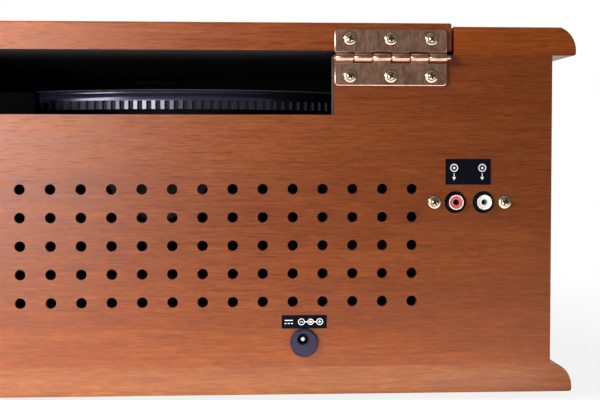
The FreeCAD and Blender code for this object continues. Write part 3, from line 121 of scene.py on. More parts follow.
def plus(tree, first, second):
    return sums(tree, "ADD", first, second)


# Distance of a point from the upright axis
def axisReach(tree, x, y):
    squares = plus(tree, times(tree, x, x), times(tree, y, y))
    return sums(tree, "SQRT", squares, 0.0)


# Mix of two colours, which are inputs 6 and 7 of the node
def blend(tree, share, first, second):
    first, second = ((*value, 1.0) if isinstance(value, tuple) else value for value in (first, second))
    return addNode(tree, "ShaderNodeMix", {0: share, 6: first, 7: second}, data_type="RGBA").outputs[2]


def bump(tree, shader, height, strength, distance):
    made = addNode(tree, "ShaderNodeBump", {"Height": height, "Strength": strength, "Distance": distance})
    tree.links.new(made.outputs["Normal"], shader.inputs["Normal"])


# Lacquered veneer: broad figure, short streaks and fine dark pores along the grain
veneerLook = {
    "deep": (0.116, 0.0208, 0.0016),
    "middle": (0.174, 0.0352, 0.0030),
    "pale": (0.236, 0.0560, 0.0066),
    "pore": (0.070, 0.0130, 0.0016),
    "inside": (0.005, 0.0035, 0.003),
    "figure": ((2.4, 28), 4.0, 0.55, 1.1), "figureShare": 0.30,
    "streak": ((34, 560), 3.0, 0.6, 0.5), "streakShare": 0.34,
    "fine": ((120, 1250), 3.0, 0.6, 0.3), "fineShare": 0.36,
    "toneStops": (0.37, 0.5, 0.63),
    "pores": ((110, 1400), 2.0, 0.5), "poreRange": (0.60, 0.69), "poreShare": 0.40,
    "rough": (0.27, 0.35), "insideRough": 0.6, "specular": 0.10, "fineRelief": 0.5, "relief": (0.10, 0.0004),
}


def veneer(name, along, inside=(), shift=(0, 0, 0), tint=(1, 1, 1)):
    look = veneerLook
    finish, tree, shader = newFinish(name)
    deep, middle, pale, poreDark = (tuple(c * t for c, t in zip(look[tone], tint))
                                    for tone in ("deep", "middle", "pale", "pore"))

    def grain(lengthwise, crosswise):
        scale = [crosswise] * 3
        scale["xyz".index(along)] = lengthwise
        return objectPlace(tree, tuple(scale), shift=shift)

    figure, streak, fine, pores = (noise(tree, grain(*look[layer][0]), *look[layer][1:])
                                   for layer in ("figure", "streak", "fine", "pores"))
    mixed = plus(tree, times(tree, figure, look["figureShare"]),
                 times(tree, streak, look["streakShare"]))
    mixed = plus(tree, mixed, times(tree, fine, look["fineShare"]))
    colour = ramp(tree, mixed, look["toneStops"], (deep, middle, pale))
    pore = spread(tree, pores, *look["poreRange"])
    colour = blend(tree, times(tree, pore, look["poreShare"]), colour, poreDark)
    # Faces within the given bounds get a dark stain, which is also painted shade in the slot, vent holes and
    # finger notch
    insideShadeMask = None
    parts = split(tree, objectPlace(tree))
    for axis, operation, limit in inside:
        here = sums(tree, operation, parts["xyz".index(axis)], limit)
        insideShadeMask = here if insideShadeMask is None else times(tree, insideShadeMask, here)
    rough = spread(tree, streak, *noiseRange, *look["rough"])
    if insideShadeMask is not None:
        colour = blend(tree, insideShadeMask, colour, look["inside"])
        rough = plus(tree, rough, times(tree, insideShadeMask, look["insideRough"]))
    setInputs(tree, shader, {"Base Color": colour, "Roughness": rough,
                             "Specular IOR Level": look["specular"]})
    relief = sums(tree, "SUBTRACT", times(tree, fine, look["fineRelief"]), pore)
    bump(tree, shader, relief, *look["relief"])
    return finish


# Metals share brushed scratches and cloudy tarnish
metalLook = {"tarnish": (4.0, 0.6, 0.4), "tarnishShare": 0.6, "lines": (3.0, 0.7), "lineShare": 0.4,
             "toneStops": (0.36, 0.62), "relief": (0.12, 0.0002)}


def metal(name, bright, dull, rough=(0.28, 0.45), brush=(400, 400, 400), cloud=160.0):
    look = metalLook
    finish, tree, shader = newFinish(name)
    tarnish = noise(tree, objectPlace(tree, (cloud,) * 3), *look["tarnish"])
    lines = noise(tree, objectPlace(tree, brush), *look["lines"])
    share = plus(tree, times(tree, tarnish, look["tarnishShare"]),
                 times(tree, lines, look["lineShare"]))
    setInputs(tree, shader, {"Base Color": ramp(tree, share, look["toneStops"], (dull, bright)),
                             "Roughness": spread(tree, lines, *noiseRange, *rough), "Metallic": 1.0})
    bump(tree, shader, lines, *look["relief"])
    return finish


# Moulded plastics have a fine grain and faint handling marks
plasticLook = {"patchScale": (45, 45, 45), "patches": (3.0, 0.6), "specks": (2.0, 0.5), "roughSwing": 0.06,
               "relief": 0.0002}


def plastic(name, colour, rough=0.4, grain=1400.0, depth=0.06, specular=0.5, variation=0.12, tint=(1, 1, 1)):
    look = plasticLook
    finish, tree, shader = newFinish(name)
    patches = noise(tree, objectPlace(tree, look["patchScale"]), *look["patches"])
    specks = noise(tree, objectPlace(tree, (grain,) * 3), *look["specks"])
    low = tuple(c * (1 - variation) for c in colour)
    high = tuple(min(1.0, c * (1 + variation)) for c in colour)
    swing = look["roughSwing"]
    setInputs(tree, shader, {"Base Color": ramp(tree, patches, noiseRange, (low, high)),
                             "Roughness": spread(tree, patches, *noiseRange, rough - swing, rough + swing),
                             "Specular IOR Level": specular, "Specular Tint": (*tint, 1.0)})
    bump(tree, shader, specks, depth, look["relief"])
    return finish


# Clear plastic with faint smears
clearLook = {"smearScale": (70, 70, 70), "smear": (3.0, 0.6), "dim": 0.94, "rough": (0.05, 0.10),
             "bend": 1.47}


def clearPlastic(name, colour):
    look = clearLook
    finish, tree, shader = newFinish(name)
    smear = noise(tree, objectPlace(tree, look["smearScale"]), *look["smear"])
    dim = tuple(c * look["dim"] for c in colour)
    setInputs(tree, shader, {"Base Color": ramp(tree, smear, noiseRange, (dim, colour)),
                             "Roughness": spread(tree, smear, *noiseRange, *look["rough"]),
                             "Transmission Weight": 1.0, "IOR": look["bend"]})
    return finish


# Felt, paper and bare wood: rough fibres
fibreLook = {"strands": (4.0, 0.7, 0.6), "strandShare": 0.7, "cloudScale": (60, 60, 60), "cloudDetail": 2.0,
             "cloudShare": 0.3, "relief": (0.35, 0.0004)}


def fibres(name, pale, dark, stretch=(900, 900, 900), rough=0.9, sheen=0.0):
    look = fibreLook
    finish, tree, shader = newFinish(name)
    strands = noise(tree, objectPlace(tree, stretch), *look["strands"])
    cloud = noise(tree, objectPlace(tree, look["cloudScale"]), look["cloudDetail"])
    share = plus(tree, times(tree, strands, look["strandShare"]),
                 times(tree, cloud, look["cloudShare"]))
    setInputs(tree, shader, {"Base Color": ramp(tree, share, noiseRange, (dark, pale)), "Roughness": rough,
                             "Sheen Weight": sheen})
    bump(tree, shader, strands, *look["relief"])
    return finish


# Black platter: the grooves between the rim's ribs are rougher and painted darker as shade, which narrows the
# ribs' highlights
platterLook = {"colour": (0.009, 0.0075, 0.017), "groove": (0.0015, 0.0013, 0.0020),
               "axisShift": (0.029, -0.0224, 0.0), "ribFace": 0.13988, "grooveHeight": 0.1719,
               "rough": (0.20, 0.26), "grooveRough": 0.6, "specular": 0.24, "tint": (0.80, 0.78, 1.0),
               "tones": (0.88, 1.12), "speckScale": (900, 900, 900), "speckDepth": 0.02}


def ribbedBlack(name):
    look = platterLook
    finish, tree, shader = newFinish(name)
    patches = noise(tree, objectPlace(tree, plasticLook["patchScale"]), *plasticLook["patches"])
    colours = [tuple(c * share for c in look["colour"]) for share in look["tones"]]
    colour = ramp(tree, patches, noiseRange, colours)
    x, y, z = split(tree, objectPlace(tree, shift=look["axisShift"]))[:3]
    # Painted shade: the grooves inside the rib faces, below the ribs' top, are darker and rougher
    groove = times(tree, sums(tree, "LESS_THAN", axisReach(tree, x, y), look["ribFace"]),
                   sums(tree, "LESS_THAN", z, look["grooveHeight"]))
    rough = plus(tree, spread(tree, patches, *noiseRange, *look["rough"]),
                 times(tree, groove, look["grooveRough"]))
    setInputs(tree, shader, {"Base Color": blend(tree, groove, colour, look["groove"]), "Roughness": rough,
                             "Specular IOR Level": look["specular"], "Specular Tint": (*look["tint"], 1.0)})
    specks = noise(tree, objectPlace(tree, look["speckScale"]), *plasticLook["specks"])
    bump(tree, shader, specks, look["speckDepth"], plasticLook["relief"])
    return finish


finishes = {
    "wood_inner": fibres("bareWood", (0.26, 0.145, 0.068), (0.17, 0.085, 0.036), (12, 300, 300), 0.75),
    "felt": fibres("blackFelt", (0.032, 0.032, 0.034), (0.012, 0.012, 0.013), sheen=0.05),
    "rubber": plastic("blackRubber", (0.022, 0.022, 0.023), 0.75, 900, 0.15, 0.25),
    "steel": metal("zincSteel", (0.52, 0.52, 0.53), (0.30, 0.30, 0.31)),
    "brass": metal("antiqueBrass", (0.168, 0.096, 0.066), (0.086, 0.046, 0.031), (0.17, 0.24),
                   (900, 900, 160), 210.0),
    "black_plastic": plastic("blackPlastic", (0.012, 0.012, 0.014), 0.42),
    "nickel": metal("nickelPlate", (0.72, 0.70, 0.67), (0.50, 0.48, 0.46), (0.16, 0.28)),
    "red_plastic": plastic("redPlastic", (0.47, 0.060, 0.055), 0.34),
    "white_plastic": plastic("whitePlastic", (0.80, 0.80, 0.82), 0.34, variation=0.05),
    "label_black": plastic("labelFilm", (0.0014, 0.0014, 0.0040), 0.5, 700, 0.04, 0.015),
    "painted_steel": plastic("blackPaint", (0.020, 0.020, 0.021), 0.48, 600, 0.10),
    "ferrite": plastic("ferriteGrey", (0.055, 0.053, 0.052), 0.7, 500, 0.2),
    "cone_paper": fibres("conePaper", (0.050, 0.048, 0.046), (0.028, 0.027, 0.026)),
    "grille_cloth": fibres("grilleCard", (0.10, 0.08, 0.055), (0.07, 0.055, 0.04)),
    "clear_glass": clearPlastic("dialClear", (0.97, 0.98, 0.97)),
    "cream_plastic": plastic("creamPlate", (0.72, 0.62, 0.42), 0.5, 300, 0.03, variation=0.06),
    "cord": fibres("dialString", (0.55, 0.48, 0.36), (0.38, 0.32, 0.22), (3000, 3000, 3000)),
    "red_lens": plastic("redLens", (0.40, 0.012, 0.010), 0.12, 300, 0.02, 0.6),
    "circuit_green": plastic("boardGreen", (0.006, 0.030, 0.013), 0.6, 250, 0.1, 0.05),
    "silver": metal("satinSilver", (0.62, 0.62, 0.63), (0.45, 0.45, 0.46), (0.24, 0.36)),
    "knob_brown": plastic("brownKnob", (0.055, 0.022, 0.012), 0.22, 700, 0.03),
    "screwBrass": metal("screwBrass", (0.175, 0.128, 0.092), (0.085, 0.058, 0.040), (0.18, 0.28)),
    # Dark brown standing as painted shade in the screws' cross recesses and round their washers
    "screwPaintedShade": plastic("screwPaintedShade", (0.016, 0.009, 0.006), 0.6, 900, 0.05, 0.10),
    # Lighter brass for the plate bevels: wear, and a painted highlight where the edges catch light
    "wornHighlightBrass": metal("wornHighlightBrass", (0.185, 0.112, 0.084), (0.11, 0.063, 0.046), (0.18, 0.28),
                       (900, 900, 900)),
    "printWhite": plastic("printWhite", (0.80, 0.80, 0.80), 0.55, 900, 0.03, 0.3, 0.05),
    "printBrown": plastic("printBrown", (0.060, 0.028, 0.015), 0.6, 900, 0.03, 0.3, 0.08),
    "speakerWeave": fibres("speakerWeave", (0.155, 0.105, 0.055), (0.060, 0.040, 0.022), (700, 700, 700)),
}
nodeFinishes = {
    "platter": ribbedBlack("platterBlack"),
    # Near-black cover in the slot: black plastic darkened further as painted shade
    "tonearm_base": plastic("deckShadeBlack", (0.0003, 0.0003, 0.0004), 0.7, 900, 0.05, 0.005),
    "dc_socket": plastic("inletBlack", (0.014, 0.011, 0.023), 0.40, 900, 0.05, 0.08, tint=(0.8, 0.78, 1.0)),
    "dc_socket_pin": metal("inletPin", (0.16, 0.155, 0.15), (0.06, 0.06, 0.06)),
    # Control bodies are black as painted shade seen through the vent holes; the real ones are plated steel
    "control_bodies": plastic("controlShadeBlack", (0.010, 0.010, 0.011), 0.7, 900, 0.05, 0.05),
    "glue_blocks": fibres("darkBlocks", (0.030, 0.017, 0.010), (0.018, 0.010, 0.006), (12, 300, 300), 0.8),
    "line_out_socket": plastic("socketBlack", (0.0022, 0.0020, 0.0028), 0.5, 900, 0.05, 0.04),
    "turntable_deck": plastic("deckGrain", (0.008, 0.008, 0.009), 0.50, 700, 0.12, 0.15),
}
# Veneered boards: faces turned to the inside of the cabinet are stained dark, and the same dark is painted
# shade on the vent-hole walls, the slot's walls and the finger notch
betweenSides = [("x", "GREATER_THAN", -0.2417), ("x", "LESS_THAN", 0.2417)]
woodFinishes = {
    "rear_panel": veneer("veneerRear", "x", [("y", "LESS_THAN", 0.1792)] + betweenSides,
                         (0.0, 0.0, 0.013)),
    "front_panel": veneer("veneerFront", "x", [("y", "GREATER_THAN", -0.1600)] + betweenSides,
                          (0.31, 0.0, 0.2)),
    "side_panel_left": veneer("veneerLeft", "y", shift=(0.4, 0.11, 0.3)),
    "side_panel_right": veneer("veneerRight", "y", shift=(0.9, 0.23, 0.7)),
    "lid_board": veneer("veneerLid", "x", [("z", "LESS_THAN", 0.1993)], (0.77, 0.4, 0.1),
                        (1.14, 1.12, 1.0)),
    "top_frame": veneer("veneerTop", "x", [("z", "LESS_THAN", 0.1998), ("x", "GREATER_THAN", -0.1868),
                                           ("x", "LESS_THAN", 0.1868), ("y", "GREATER_THAN", -0.1545),
                                           ("y", "LESS_THAN", 0.1815)], (1.7, 0.9, 0.5), (1.42, 1.38, 0.8)),
    # The base board's paler tint is painted floor bounce light and sheen
    "base_board": veneer("veneerBase", "x", shift=(2.3, 0.6, 0.9), tint=(1.07, 1.36, 2.2)),
}
for name, piece in nodes.items():
    slotName = piece.data.materials[0].name.split(".")[0]
    finish = woodFinishes.get(name) or nodeFinishes.get(name) or finishes[slotName]
    piece.data.materials.clear()
    piece.data.materials.append(finish)
print("finishes set on", len(nodes), "nodes")


# Helpers for the node-built pieces: a tree with named sizes, and the plain mesh it gives
def startTree(name, sizes):
    tree = bpy.data.node_groups.new(name, "GeometryNodeTree")
    kinds = {int: "NodeSocketInt", float: "NodeSocketFloat", tuple: "NodeSocketVector"}
    tree.interface.new_socket("Geometry", in_out="INPUT", socket_type="NodeSocketGeometry")
    for label, value in sizes.items():
        tree.interface.new_socket(label, in_out="INPUT", socket_type=kinds[type(value)])
    tree.interface.new_socket("Geometry", in_out="OUTPUT", socket_type="NodeSocketGeometry")
    entry = tree.nodes.new("NodeGroupInput")
    return tree, entry.outputs


def endTree(tree, geometry, finish, sharp=0.6, shadeMarkedFinish=None):
    made = nodeOut(tree, "GeometryNodeRealizeInstances", {"Geometry": geometry})
    made = nodeOut(tree, "GeometryNodeSetShadeSmooth", {"Geometry": made, "Shade Smooth": True})
    angle = nodeOut(tree, "GeometryNodeInputMeshEdgeAngle")
    made = nodeOut(tree, "GeometryNodeSetShadeSmooth",
                   {"Geometry": made, "Selection": sums(tree, "GREATER_THAN", angle, sharp),
                    "Shade Smooth": False}, domain="EDGE")
    made = nodeOut(tree, "GeometryNodeSetMaterial", {"Geometry": made, "Material": finish})
    # Faces stored with the mark take the painted-shade finish
    if shadeMarkedFinish is not None:
        mark = nodeOut(tree, "GeometryNodeInputNamedAttribute", {"Name": "shadeMarked"},
                       data_type="FLOAT")
        made = nodeOut(tree, "GeometryNodeSetMaterial",
                       {"Geometry": made, "Selection": sums(tree, "GREATER_THAN", mark, 0.5),
                        "Material": shadeMarkedFinish})
    tree.links.new(made, tree.nodes.new("NodeGroupOutput").inputs[0])


def shadeMarked(tree, geometry, share=1.0):
    return nodeOut(tree, "GeometryNodeStoreNamedAttribute",
                   {"Geometry": geometry, "Name": "shadeMarked", "Value": share},
                   data_type="FLOAT", domain="FACE")


def linkPiece(name, data):
    piece = bpy.data.objects.new(name, data)
    bpy.context.scene.collection.objects.link(piece)
    return piece


def meshFrom(name, form, *materials):
    mesh = bpy.data.meshes.new(name)
    form.to_mesh(mesh)
    form.free()
    for material in materials:
        mesh.materials.append(material)
    return mesh


def grow(name, tree, sizes, points=((0, 0, 0),), spins=()):
    mesh = bpy.data.meshes.new(name + "Points")
    mesh.from_pydata([tuple(point) for point in points], [], [])
    if spins:
        mesh.attributes.new("spin", "FLOAT", "POINT").data.foreach_set("value", list(spins))
    piece = linkPiece(name, mesh)
    modifier = piece.modifiers.new("shape", "NODES")
    modifier.node_group = tree
    for item in tree.interface.items_tree:
        if item.item_type == "SOCKET" and item.in_out == "INPUT" and item.name in sizes:
            modifier[item.identifier] = sizes[item.name]
    graph = bpy.context.evaluated_depsgraph_get()
    made = bpy.data.meshes.new_from_object(piece.evaluated_get(graph))
    piece.modifiers.remove(modifier)
    while None in list(made.materials):
        made.materials.pop(index=list(made.materials).index(None))
    piece.data = made
    made.name = name
    print(name, "has", len(made.polygons), "faces")
    return piece


def pointPlace(tree):
    place = nodeOut(tree, "GeometryNodeInputPosition")
    return split(tree, place)


def vector(tree, x=0.0, y=0.0, z=0.0):
    return nodeOut(tree, "ShaderNodeCombineXYZ", {"X": x, "Y": y, "Z": z})


def moved(tree, geometry, shift, turn=(0, 0, 0)):
    return nodeOut(tree, "GeometryNodeTransform",
                   {"Geometry": geometry, "Translation": shift, "Rotation": turn})


def joined(tree, *parts):
    made = tree.nodes.new("GeometryNodeJoinGeometry")
    for part in parts:
        tree.links.new(part, made.inputs[0])
    return made.outputs[0]


# A disc on z = 0 whose top falls away to the rim by the power given
def domedDisc(tree, radius, height, crown, power, around, rings):
    disc = addNode(tree, "GeometryNodeMeshCylinder",
                   {"Vertices": around, "Side Segments": 2, "Fill Segments": rings, "Radius": radius,
                    "Depth": height}, fill_type="TRIANGLE_FAN").outputs["Mesh"]
    x, y, z = pointPlace(tree)[:3]
    reach = axisReach(tree, x, y)
    share = sums(tree, "POWER", sums(tree, "DIVIDE", reach, radius), power)
    arch = sums(tree, "POWER", sums(tree, "MAXIMUM", sums(tree, "SUBTRACT", 1.0, share), 0.0), 1.0 / power)
    drop = sums(tree, "SUBTRACT", 1.0, times(tree, crown, sums(tree, "SUBTRACT", 1.0, arch)))
    lifted = times(tree, plus(tree, z, times(tree, height, 0.5)), drop)
    return nodeOut(tree, "GeometryNodeSetPosition",
                   {"Geometry": disc, "Position": vector(tree, x, y, lifted)})


def onPoints(tree, points, instance):
    return nodeOut(tree, "GeometryNodeInstanceOnPoints",
                   {"Points": points, "Instance": instance})


def cutAway(tree, geometry, *tools):
    made = addNode(tree, "GeometryNodeMeshBoolean", {"Mesh 1": geometry}, operation="DIFFERENCE",
                   solver="EXACT")
    for tool in tools:
        tree.links.new(tool, made.inputs["Mesh 2"])
    return made.outputs["Mesh"]


# Cross-recessed round-head screws on the hinges and beside the line sockets, each on a washer; the cross
# recess and a thin ring round the washer are painted dark as shade
screwLook = {
    "sizes": {"Head radius": 0.00245, "Head height": 0.0024, "Crown": 0.50, "Cross length": 0.0035,
              "Cross width": 0.00105, "Cross depth": 0.0014, "Shank radius": 0.0016, "Shank length": 0.010,
              "Collar radius": 0.0036, "Collar height": 0.0008, "Shade ring radius": 0.0040,
              "Shade ring height": 0.00012},
    "hingeMiddle": 0.149, "hingeStep": 0.0232, "leafFace": 0.1837, "caseRow": 0.1848, "lidRow": 0.2058,
    "panelFace": 0.1824, "socketRow": 0.1133, "socketPlaces": (-0.1744, -0.2150),
    "headDisc": (2.0, 32, 5), "collarDisc": (0.8, 3.0, 32, 6), "shadeRingDisc": (0.5, 6.0, 32, 2),
    "shankSides": 16, "shankTip": 0.25, "sunkCrown": 0.5, "sunkFloor": 0.2, "sunkReach": 0.8,
    "caseSpins": (0.35, 1.1, 0.62, 0.2, 0.9, 1.35, 0.5, 1.2), "lidSpins": (0.75, 0.15, 1.3, 0.55, 1.0, 0.3),
}


# One for faces sunk below the dome, within the cross; these take the painted shade
def sunkFaces(tree, sizes):
    look = screwLook
    x, y, z = pointPlace(tree)[:3]
    reach = axisReach(tree, x, y)
    height = sizes["Head height"]
    ceiling = times(tree, height, 1.0 - look["sizes"]["Crown"] * look["sunkCrown"])
    low = sums(tree, "LESS_THAN", z, ceiling)
    above = sums(tree, "GREATER_THAN", z, times(tree, height, look["sunkFloor"]))
    near = sums(tree, "LESS_THAN", reach, times(tree, sizes["Head radius"], look["sunkReach"]))
    return times(tree, times(tree, low, above), near)


def screwTree(finish, paintedShadeFinish):
    look = screwLook
    tree, sizes = startTree("crossScrew", look["sizes"])
    height = sizes["Head height"]
    head = domedDisc(tree, sizes["Head radius"], height, sizes["Crown"], *look["headDisc"])
    bars = []
    for wide, deep in (("Cross length", "Cross width"), ("Cross width", "Cross length")):
        size = vector(tree, sizes[wide], sizes[deep], times(tree, sizes["Cross depth"], 2.0))
        bar = addNode(tree, "GeometryNodeMeshCube", {"Size": size}).outputs["Mesh"]
        bars.append(moved(tree, bar, vector(tree, z=height)))
    # Painted shade in the cross recess
    head = shadeMarked(tree, cutAway(tree, head, *bars), sunkFaces(tree, sizes))
    collar = domedDisc(tree, sizes["Collar radius"], sizes["Collar height"], *look["collarDisc"])
    # A thin dark disc under the washer and wider than it: painted shade round each screw
    shadeRing = shadeMarked(tree, domedDisc(tree, sizes["Shade ring radius"], sizes["Shade ring height"], *look["shadeRingDisc"]))
    shank = addNode(tree, "GeometryNodeMeshCone",
                    {"Vertices": look["shankSides"], "Radius Top": sizes["Shank radius"],
                     "Radius Bottom": times(tree, sizes["Shank radius"], look["shankTip"]),
                     "Depth": sizes["Shank length"]}).outputs["Mesh"]
    shank = moved(tree, shank, vector(tree, z=times(tree, sizes["Shank length"], -1.0)))
    spin = nodeOut(tree, "GeometryNodeInputNamedAttribute", {"Name": "spin"}, data_type="FLOAT")
    facing = nodeOut(tree, "FunctionNodeEulerToRotation", {"Euler": (-math.pi / 2, 0, 0)})
    twist = nodeOut(tree, "FunctionNodeAxisAngleToRotation", {"Axis": (0, 0, 1), "Angle": spin})
    turned = nodeOut(tree, "FunctionNodeRotateRotation", {"Rotation": facing, "Rotate By": twist},
                     rotation_space="LOCAL")
    placed = nodeOut(tree, "GeometryNodeInstanceOnPoints",
                     {"Points": sizes["Geometry"], "Instance": joined(tree, head, collar, shadeRing, shank),
                      "Rotation": turned})
    endTree(tree, placed, finish, shadeMarkedFinish=paintedShadeFinish)
    return tree


def makeScrews():
    look = screwLook
    tree = screwTree(finishes["screwBrass"], finishes["screwPaintedShade"])
    across = [side * look["hingeMiddle"] + step * look["hingeStep"]
              for side in (-1, 1) for step in (-1, 0, 1)]
    casePoints = [(x, look["leafFace"], look["caseRow"]) for x in across]
    casePoints += [(x, look["panelFace"], look["socketRow"]) for x in look["socketPlaces"]]
    lidPoints = [(x, look["leafFace"], look["lidRow"]) for x in across]
    caseScrews = grow("caseScrews", tree, look["sizes"], casePoints, look["caseSpins"])
    lidScrews = grow("lidScrews", tree, look["sizes"], lidPoints, look["lidSpins"])
    for piece, body, node in ((caseScrews, "cabinet", "rear_screws"), (lidScrews, "lid", "hinge_lid_screws")):
        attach(piece, body)
        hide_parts(node)


# Felt discs under the lid's front corners, and the felt mat on the platter
feltLook = {
    "pad": {"Radius": 0.0080, "Thickness": 0.0020, "Crown": 0.35},
    "padPlaces": ((-0.1742, -0.1266, 0.197), (0.1742, -0.1266, 0.197)),
    "mat": {"Radius": 0.1313, "Thickness": 0.00248, "Crown": 0.6, "Hole radius": 0.0041, "Fuzz": 0.00012},
    "matPlace": (-0.029, 0.0224, 0.1762), "padDisc": (3.0, 40, 10), "matDisc": (120.0, 128, 60),
    "boreSides": 32, "boreDepth": 0.02, "fibreScale": 260.0, "fibreDetail": 2.0, "topShare": 0.9,
    "sharp": 1.0,
}


def makePads():
    look = feltLook
    tree, sizes = startTree("feltPad", look["pad"])
    pad = domedDisc(tree, sizes["Radius"], sizes["Thickness"], sizes["Crown"], *look["padDisc"])
    endTree(tree, onPoints(tree, sizes["Geometry"], pad), finishes["felt"], look["sharp"])
    pads = grow("feltPads", tree, look["pad"], look["padPlaces"])
    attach(pads, "cabinet")
    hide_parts("lid_pads")


def makeMat():
    look = feltLook
    tree, sizes = startTree("feltMat", look["mat"])
    mat = domedDisc(tree, sizes["Radius"], sizes["Thickness"], sizes["Crown"], *look["matDisc"])
    bore = addNode(tree, "GeometryNodeMeshCylinder",
                   {"Vertices": look["boreSides"], "Radius": sizes["Hole radius"],
                    "Depth": look["boreDepth"]}).outputs["Mesh"]
    mat = cutAway(tree, mat, bore)
    place = nodeOut(tree, "GeometryNodeInputPosition")
    fibre = nodeOut(tree, "ShaderNodeTexNoise",
                    {"Vector": place, "Scale": look["fibreScale"], "Detail": look["fibreDetail"]})
    topHeight = times(tree, sizes["Thickness"], look["topShare"])
    top = sums(tree, "GREATER_THAN", split(tree, place)[2], topHeight)
    sink = times(tree, times(tree, fibre, sizes["Fuzz"]), -1.0)
    mat = nodeOut(tree, "GeometryNodeSetPosition", {"Geometry": mat, "Selection": top,
                                                    "Offset": vector(tree, z=sink)})
    endTree(tree, onPoints(tree, sizes["Geometry"], mat), finishes["felt"], look["sharp"])
    mat = grow("feltMat", tree, look["mat"], [look["matPlace"]])
    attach(mat, "platter")
    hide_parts("platter_mat")


# Woven speaker cloth stretched behind the front slots
clothLook = {
    "sizes": {"Width": 0.108, "Height": 0.108, "Threads": 109, "Relief": 0.00012, "Thickness": 0.0006,
              "Centre": (0.0, 0.0, 0.0)},
    "middles": {"speakerClothLeft": -0.150, "speakerClothRight": 0.150}, "face": -0.15545, "backOff": 0.0007,
    "height": 0.103, "weld": 0.00001, "sharp": 1.4,
}


def clothTree(finish):
    tree, sizes = startTree("speakerCloth", clothLook["sizes"])
    grid = addNode(tree, "GeometryNodeMeshGrid",
                   {"Size X": sizes["Width"], "Size Y": sizes["Height"], "Vertices X": sizes["Threads"],
                    "Vertices Y": sizes["Threads"]}).outputs["Mesh"]
    index = nodeOut(tree, "GeometryNodeInputIndex")
    column = sums(tree, "FLOOR", sums(tree, "DIVIDE", plus(tree, index, 0.5), sizes["Threads"]), 0.0)
    parity = sums(tree, "FLOORED_MODULO", plus(tree, index, column), 2.0)
    rise = times(tree, sums(tree, "SUBTRACT", parity, 0.5), sizes["Relief"])
    grid = nodeOut(tree, "GeometryNodeSetPosition",
                   {"Geometry": grid, "Offset": vector(tree, z=rise)})
    wall = addNode(tree, "GeometryNodeExtrudeMesh",
                   {"Mesh": grid, "Offset": (0, 0, 1), "Offset Scale": sizes["Thickness"],
                    "Individual": False})
    back = nodeOut(tree, "GeometryNodeFlipFaces", {"Mesh": grid})
    cloth = joined(tree, wall.outputs["Mesh"], back)
    cloth = nodeOut(tree, "GeometryNodeMergeByDistance",
                    {"Geometry": cloth, "Distance": clothLook["weld"]})
    cloth = moved(tree, cloth, sizes["Centre"], (math.pi / 2, 0, 0))
    endTree(tree, cloth, finish, clothLook["sharp"])
    return tree


def makeCloth():
    look = clothLook
    tree = clothTree(finishes["speakerWeave"])
    for name, middle in look["middles"].items():
        sizes = dict(look["sizes"], Centre=(middle, look["face"] + look["backOff"], look["height"]))
        cloth = grow(name, tree, sizes)
        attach(cloth, "cabinet")
        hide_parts("grille_cloths")


# Printed signs: thin flat shapes given in the plane of the face that carries them
weldGap = 1e-7


def ringShape(x, y, outer, inner, steps=28):
    turns = [2 * math.pi * i / steps for i in range(steps)]
    rim = [(x + outer * math.cos(t), y + outer * math.sin(t)) for t in turns]
    if not inner:
        return [rim]
    bore = [(x + inner * math.cos(t), y + inner * math.sin(t)) for t in turns]
    return [[rim[i], rim[(i + 1) % steps], bore[(i + 1) % steps], bore[i]] for i in range(steps)]


def barShape(x, y, width, height):
    left, right, low, high = x - width / 2, x + width / 2, y - height / 2, y + height / 2
    return [[(left, low), (right, low), (right, high), (left, high)]]


def arrowShape(x, y, width, height):
    return [[(x - width / 2, y + height / 2), (x, y - height / 2), (x + width / 2, y + height / 2)]]


def printShapes(name, shapes, place, film, finish):
    form = bmesh.new()
    for shape in shapes:
        form.faces.new([form.verts.new((u, v, film)) for u, v in shape])
    bmesh.ops.remove_doubles(form, verts=form.verts, dist=weldGap)
    form.normal_update()
    tops = form.faces[:]
    for face in tops:
        if face.normal.z < 0:
            face.normal_flip()
    rims = [edge for edge in form.edges if edge.is_boundary]
    lows = {corner: form.verts.new((corner.co.x, corner.co.y, 0.0)) for corner in form.verts[:]}
    for rim in rims:
        loop = rim.link_loops[0]
        first, second = loop.vert, loop.link_loop_next.vert
        form.faces.new((second, first, lows[first], lows[second]))
    for face in tops:
        form.faces.new([lows[corner] for corner in reversed(face.verts[:])])
    form.transform(place)
    return linkPiece(name, meshFrom(name, form, finish))


# Outlet, direct-current and polarity signs on the rear labels, and a black film ring round the power inlet's
# hole, painted shade that widens its dark mouth
signLook = {
    "film": 0.00008,
    "lineMiddle": (-0.1937, 0.1827, 0.1307), "outletReach": 0.0081, "ringHeight": 0.0022,
    "ring": (0.0023, 0.0017), "dot": 0.0007, "stem": (-0.0020, 0.0022), "arrow": (-0.0039, 0.0022, 0.0018),
    "directMiddle": (-0.100, 0.1827, 0.0455), "stroke": 0.00045, "directBar": (-0.0088, 0.0009, 0.0046),
    "dashes": (-0.0106, -0.0088, -0.0070), "dash": (-0.0009, 0.0011),
    "poleMiddle": 0.0036, "poleReach": 0.0052, "poleRing": (0.0019, 0.0015), "poleBar": (0.0017, 0.0004),
    "linkReach": 0.0025, "linkLength": 0.0016, "plusArm": (0.00055, 0.0004, 0.0007),
    "coreRing": (0.0017, 0.0013), "coreDot": 0.0007,
    "inletMiddle": (-0.0991, 0.1849, 0.0358), "inletShadeRing": (0.0033, 0.00275),
}


def rearPlace(spot):
    return Matrix.Translation(spot) @ Matrix.Rotation(math.pi, 4, "Z") @ Matrix.Rotation(math.pi / 2, 4, "X")


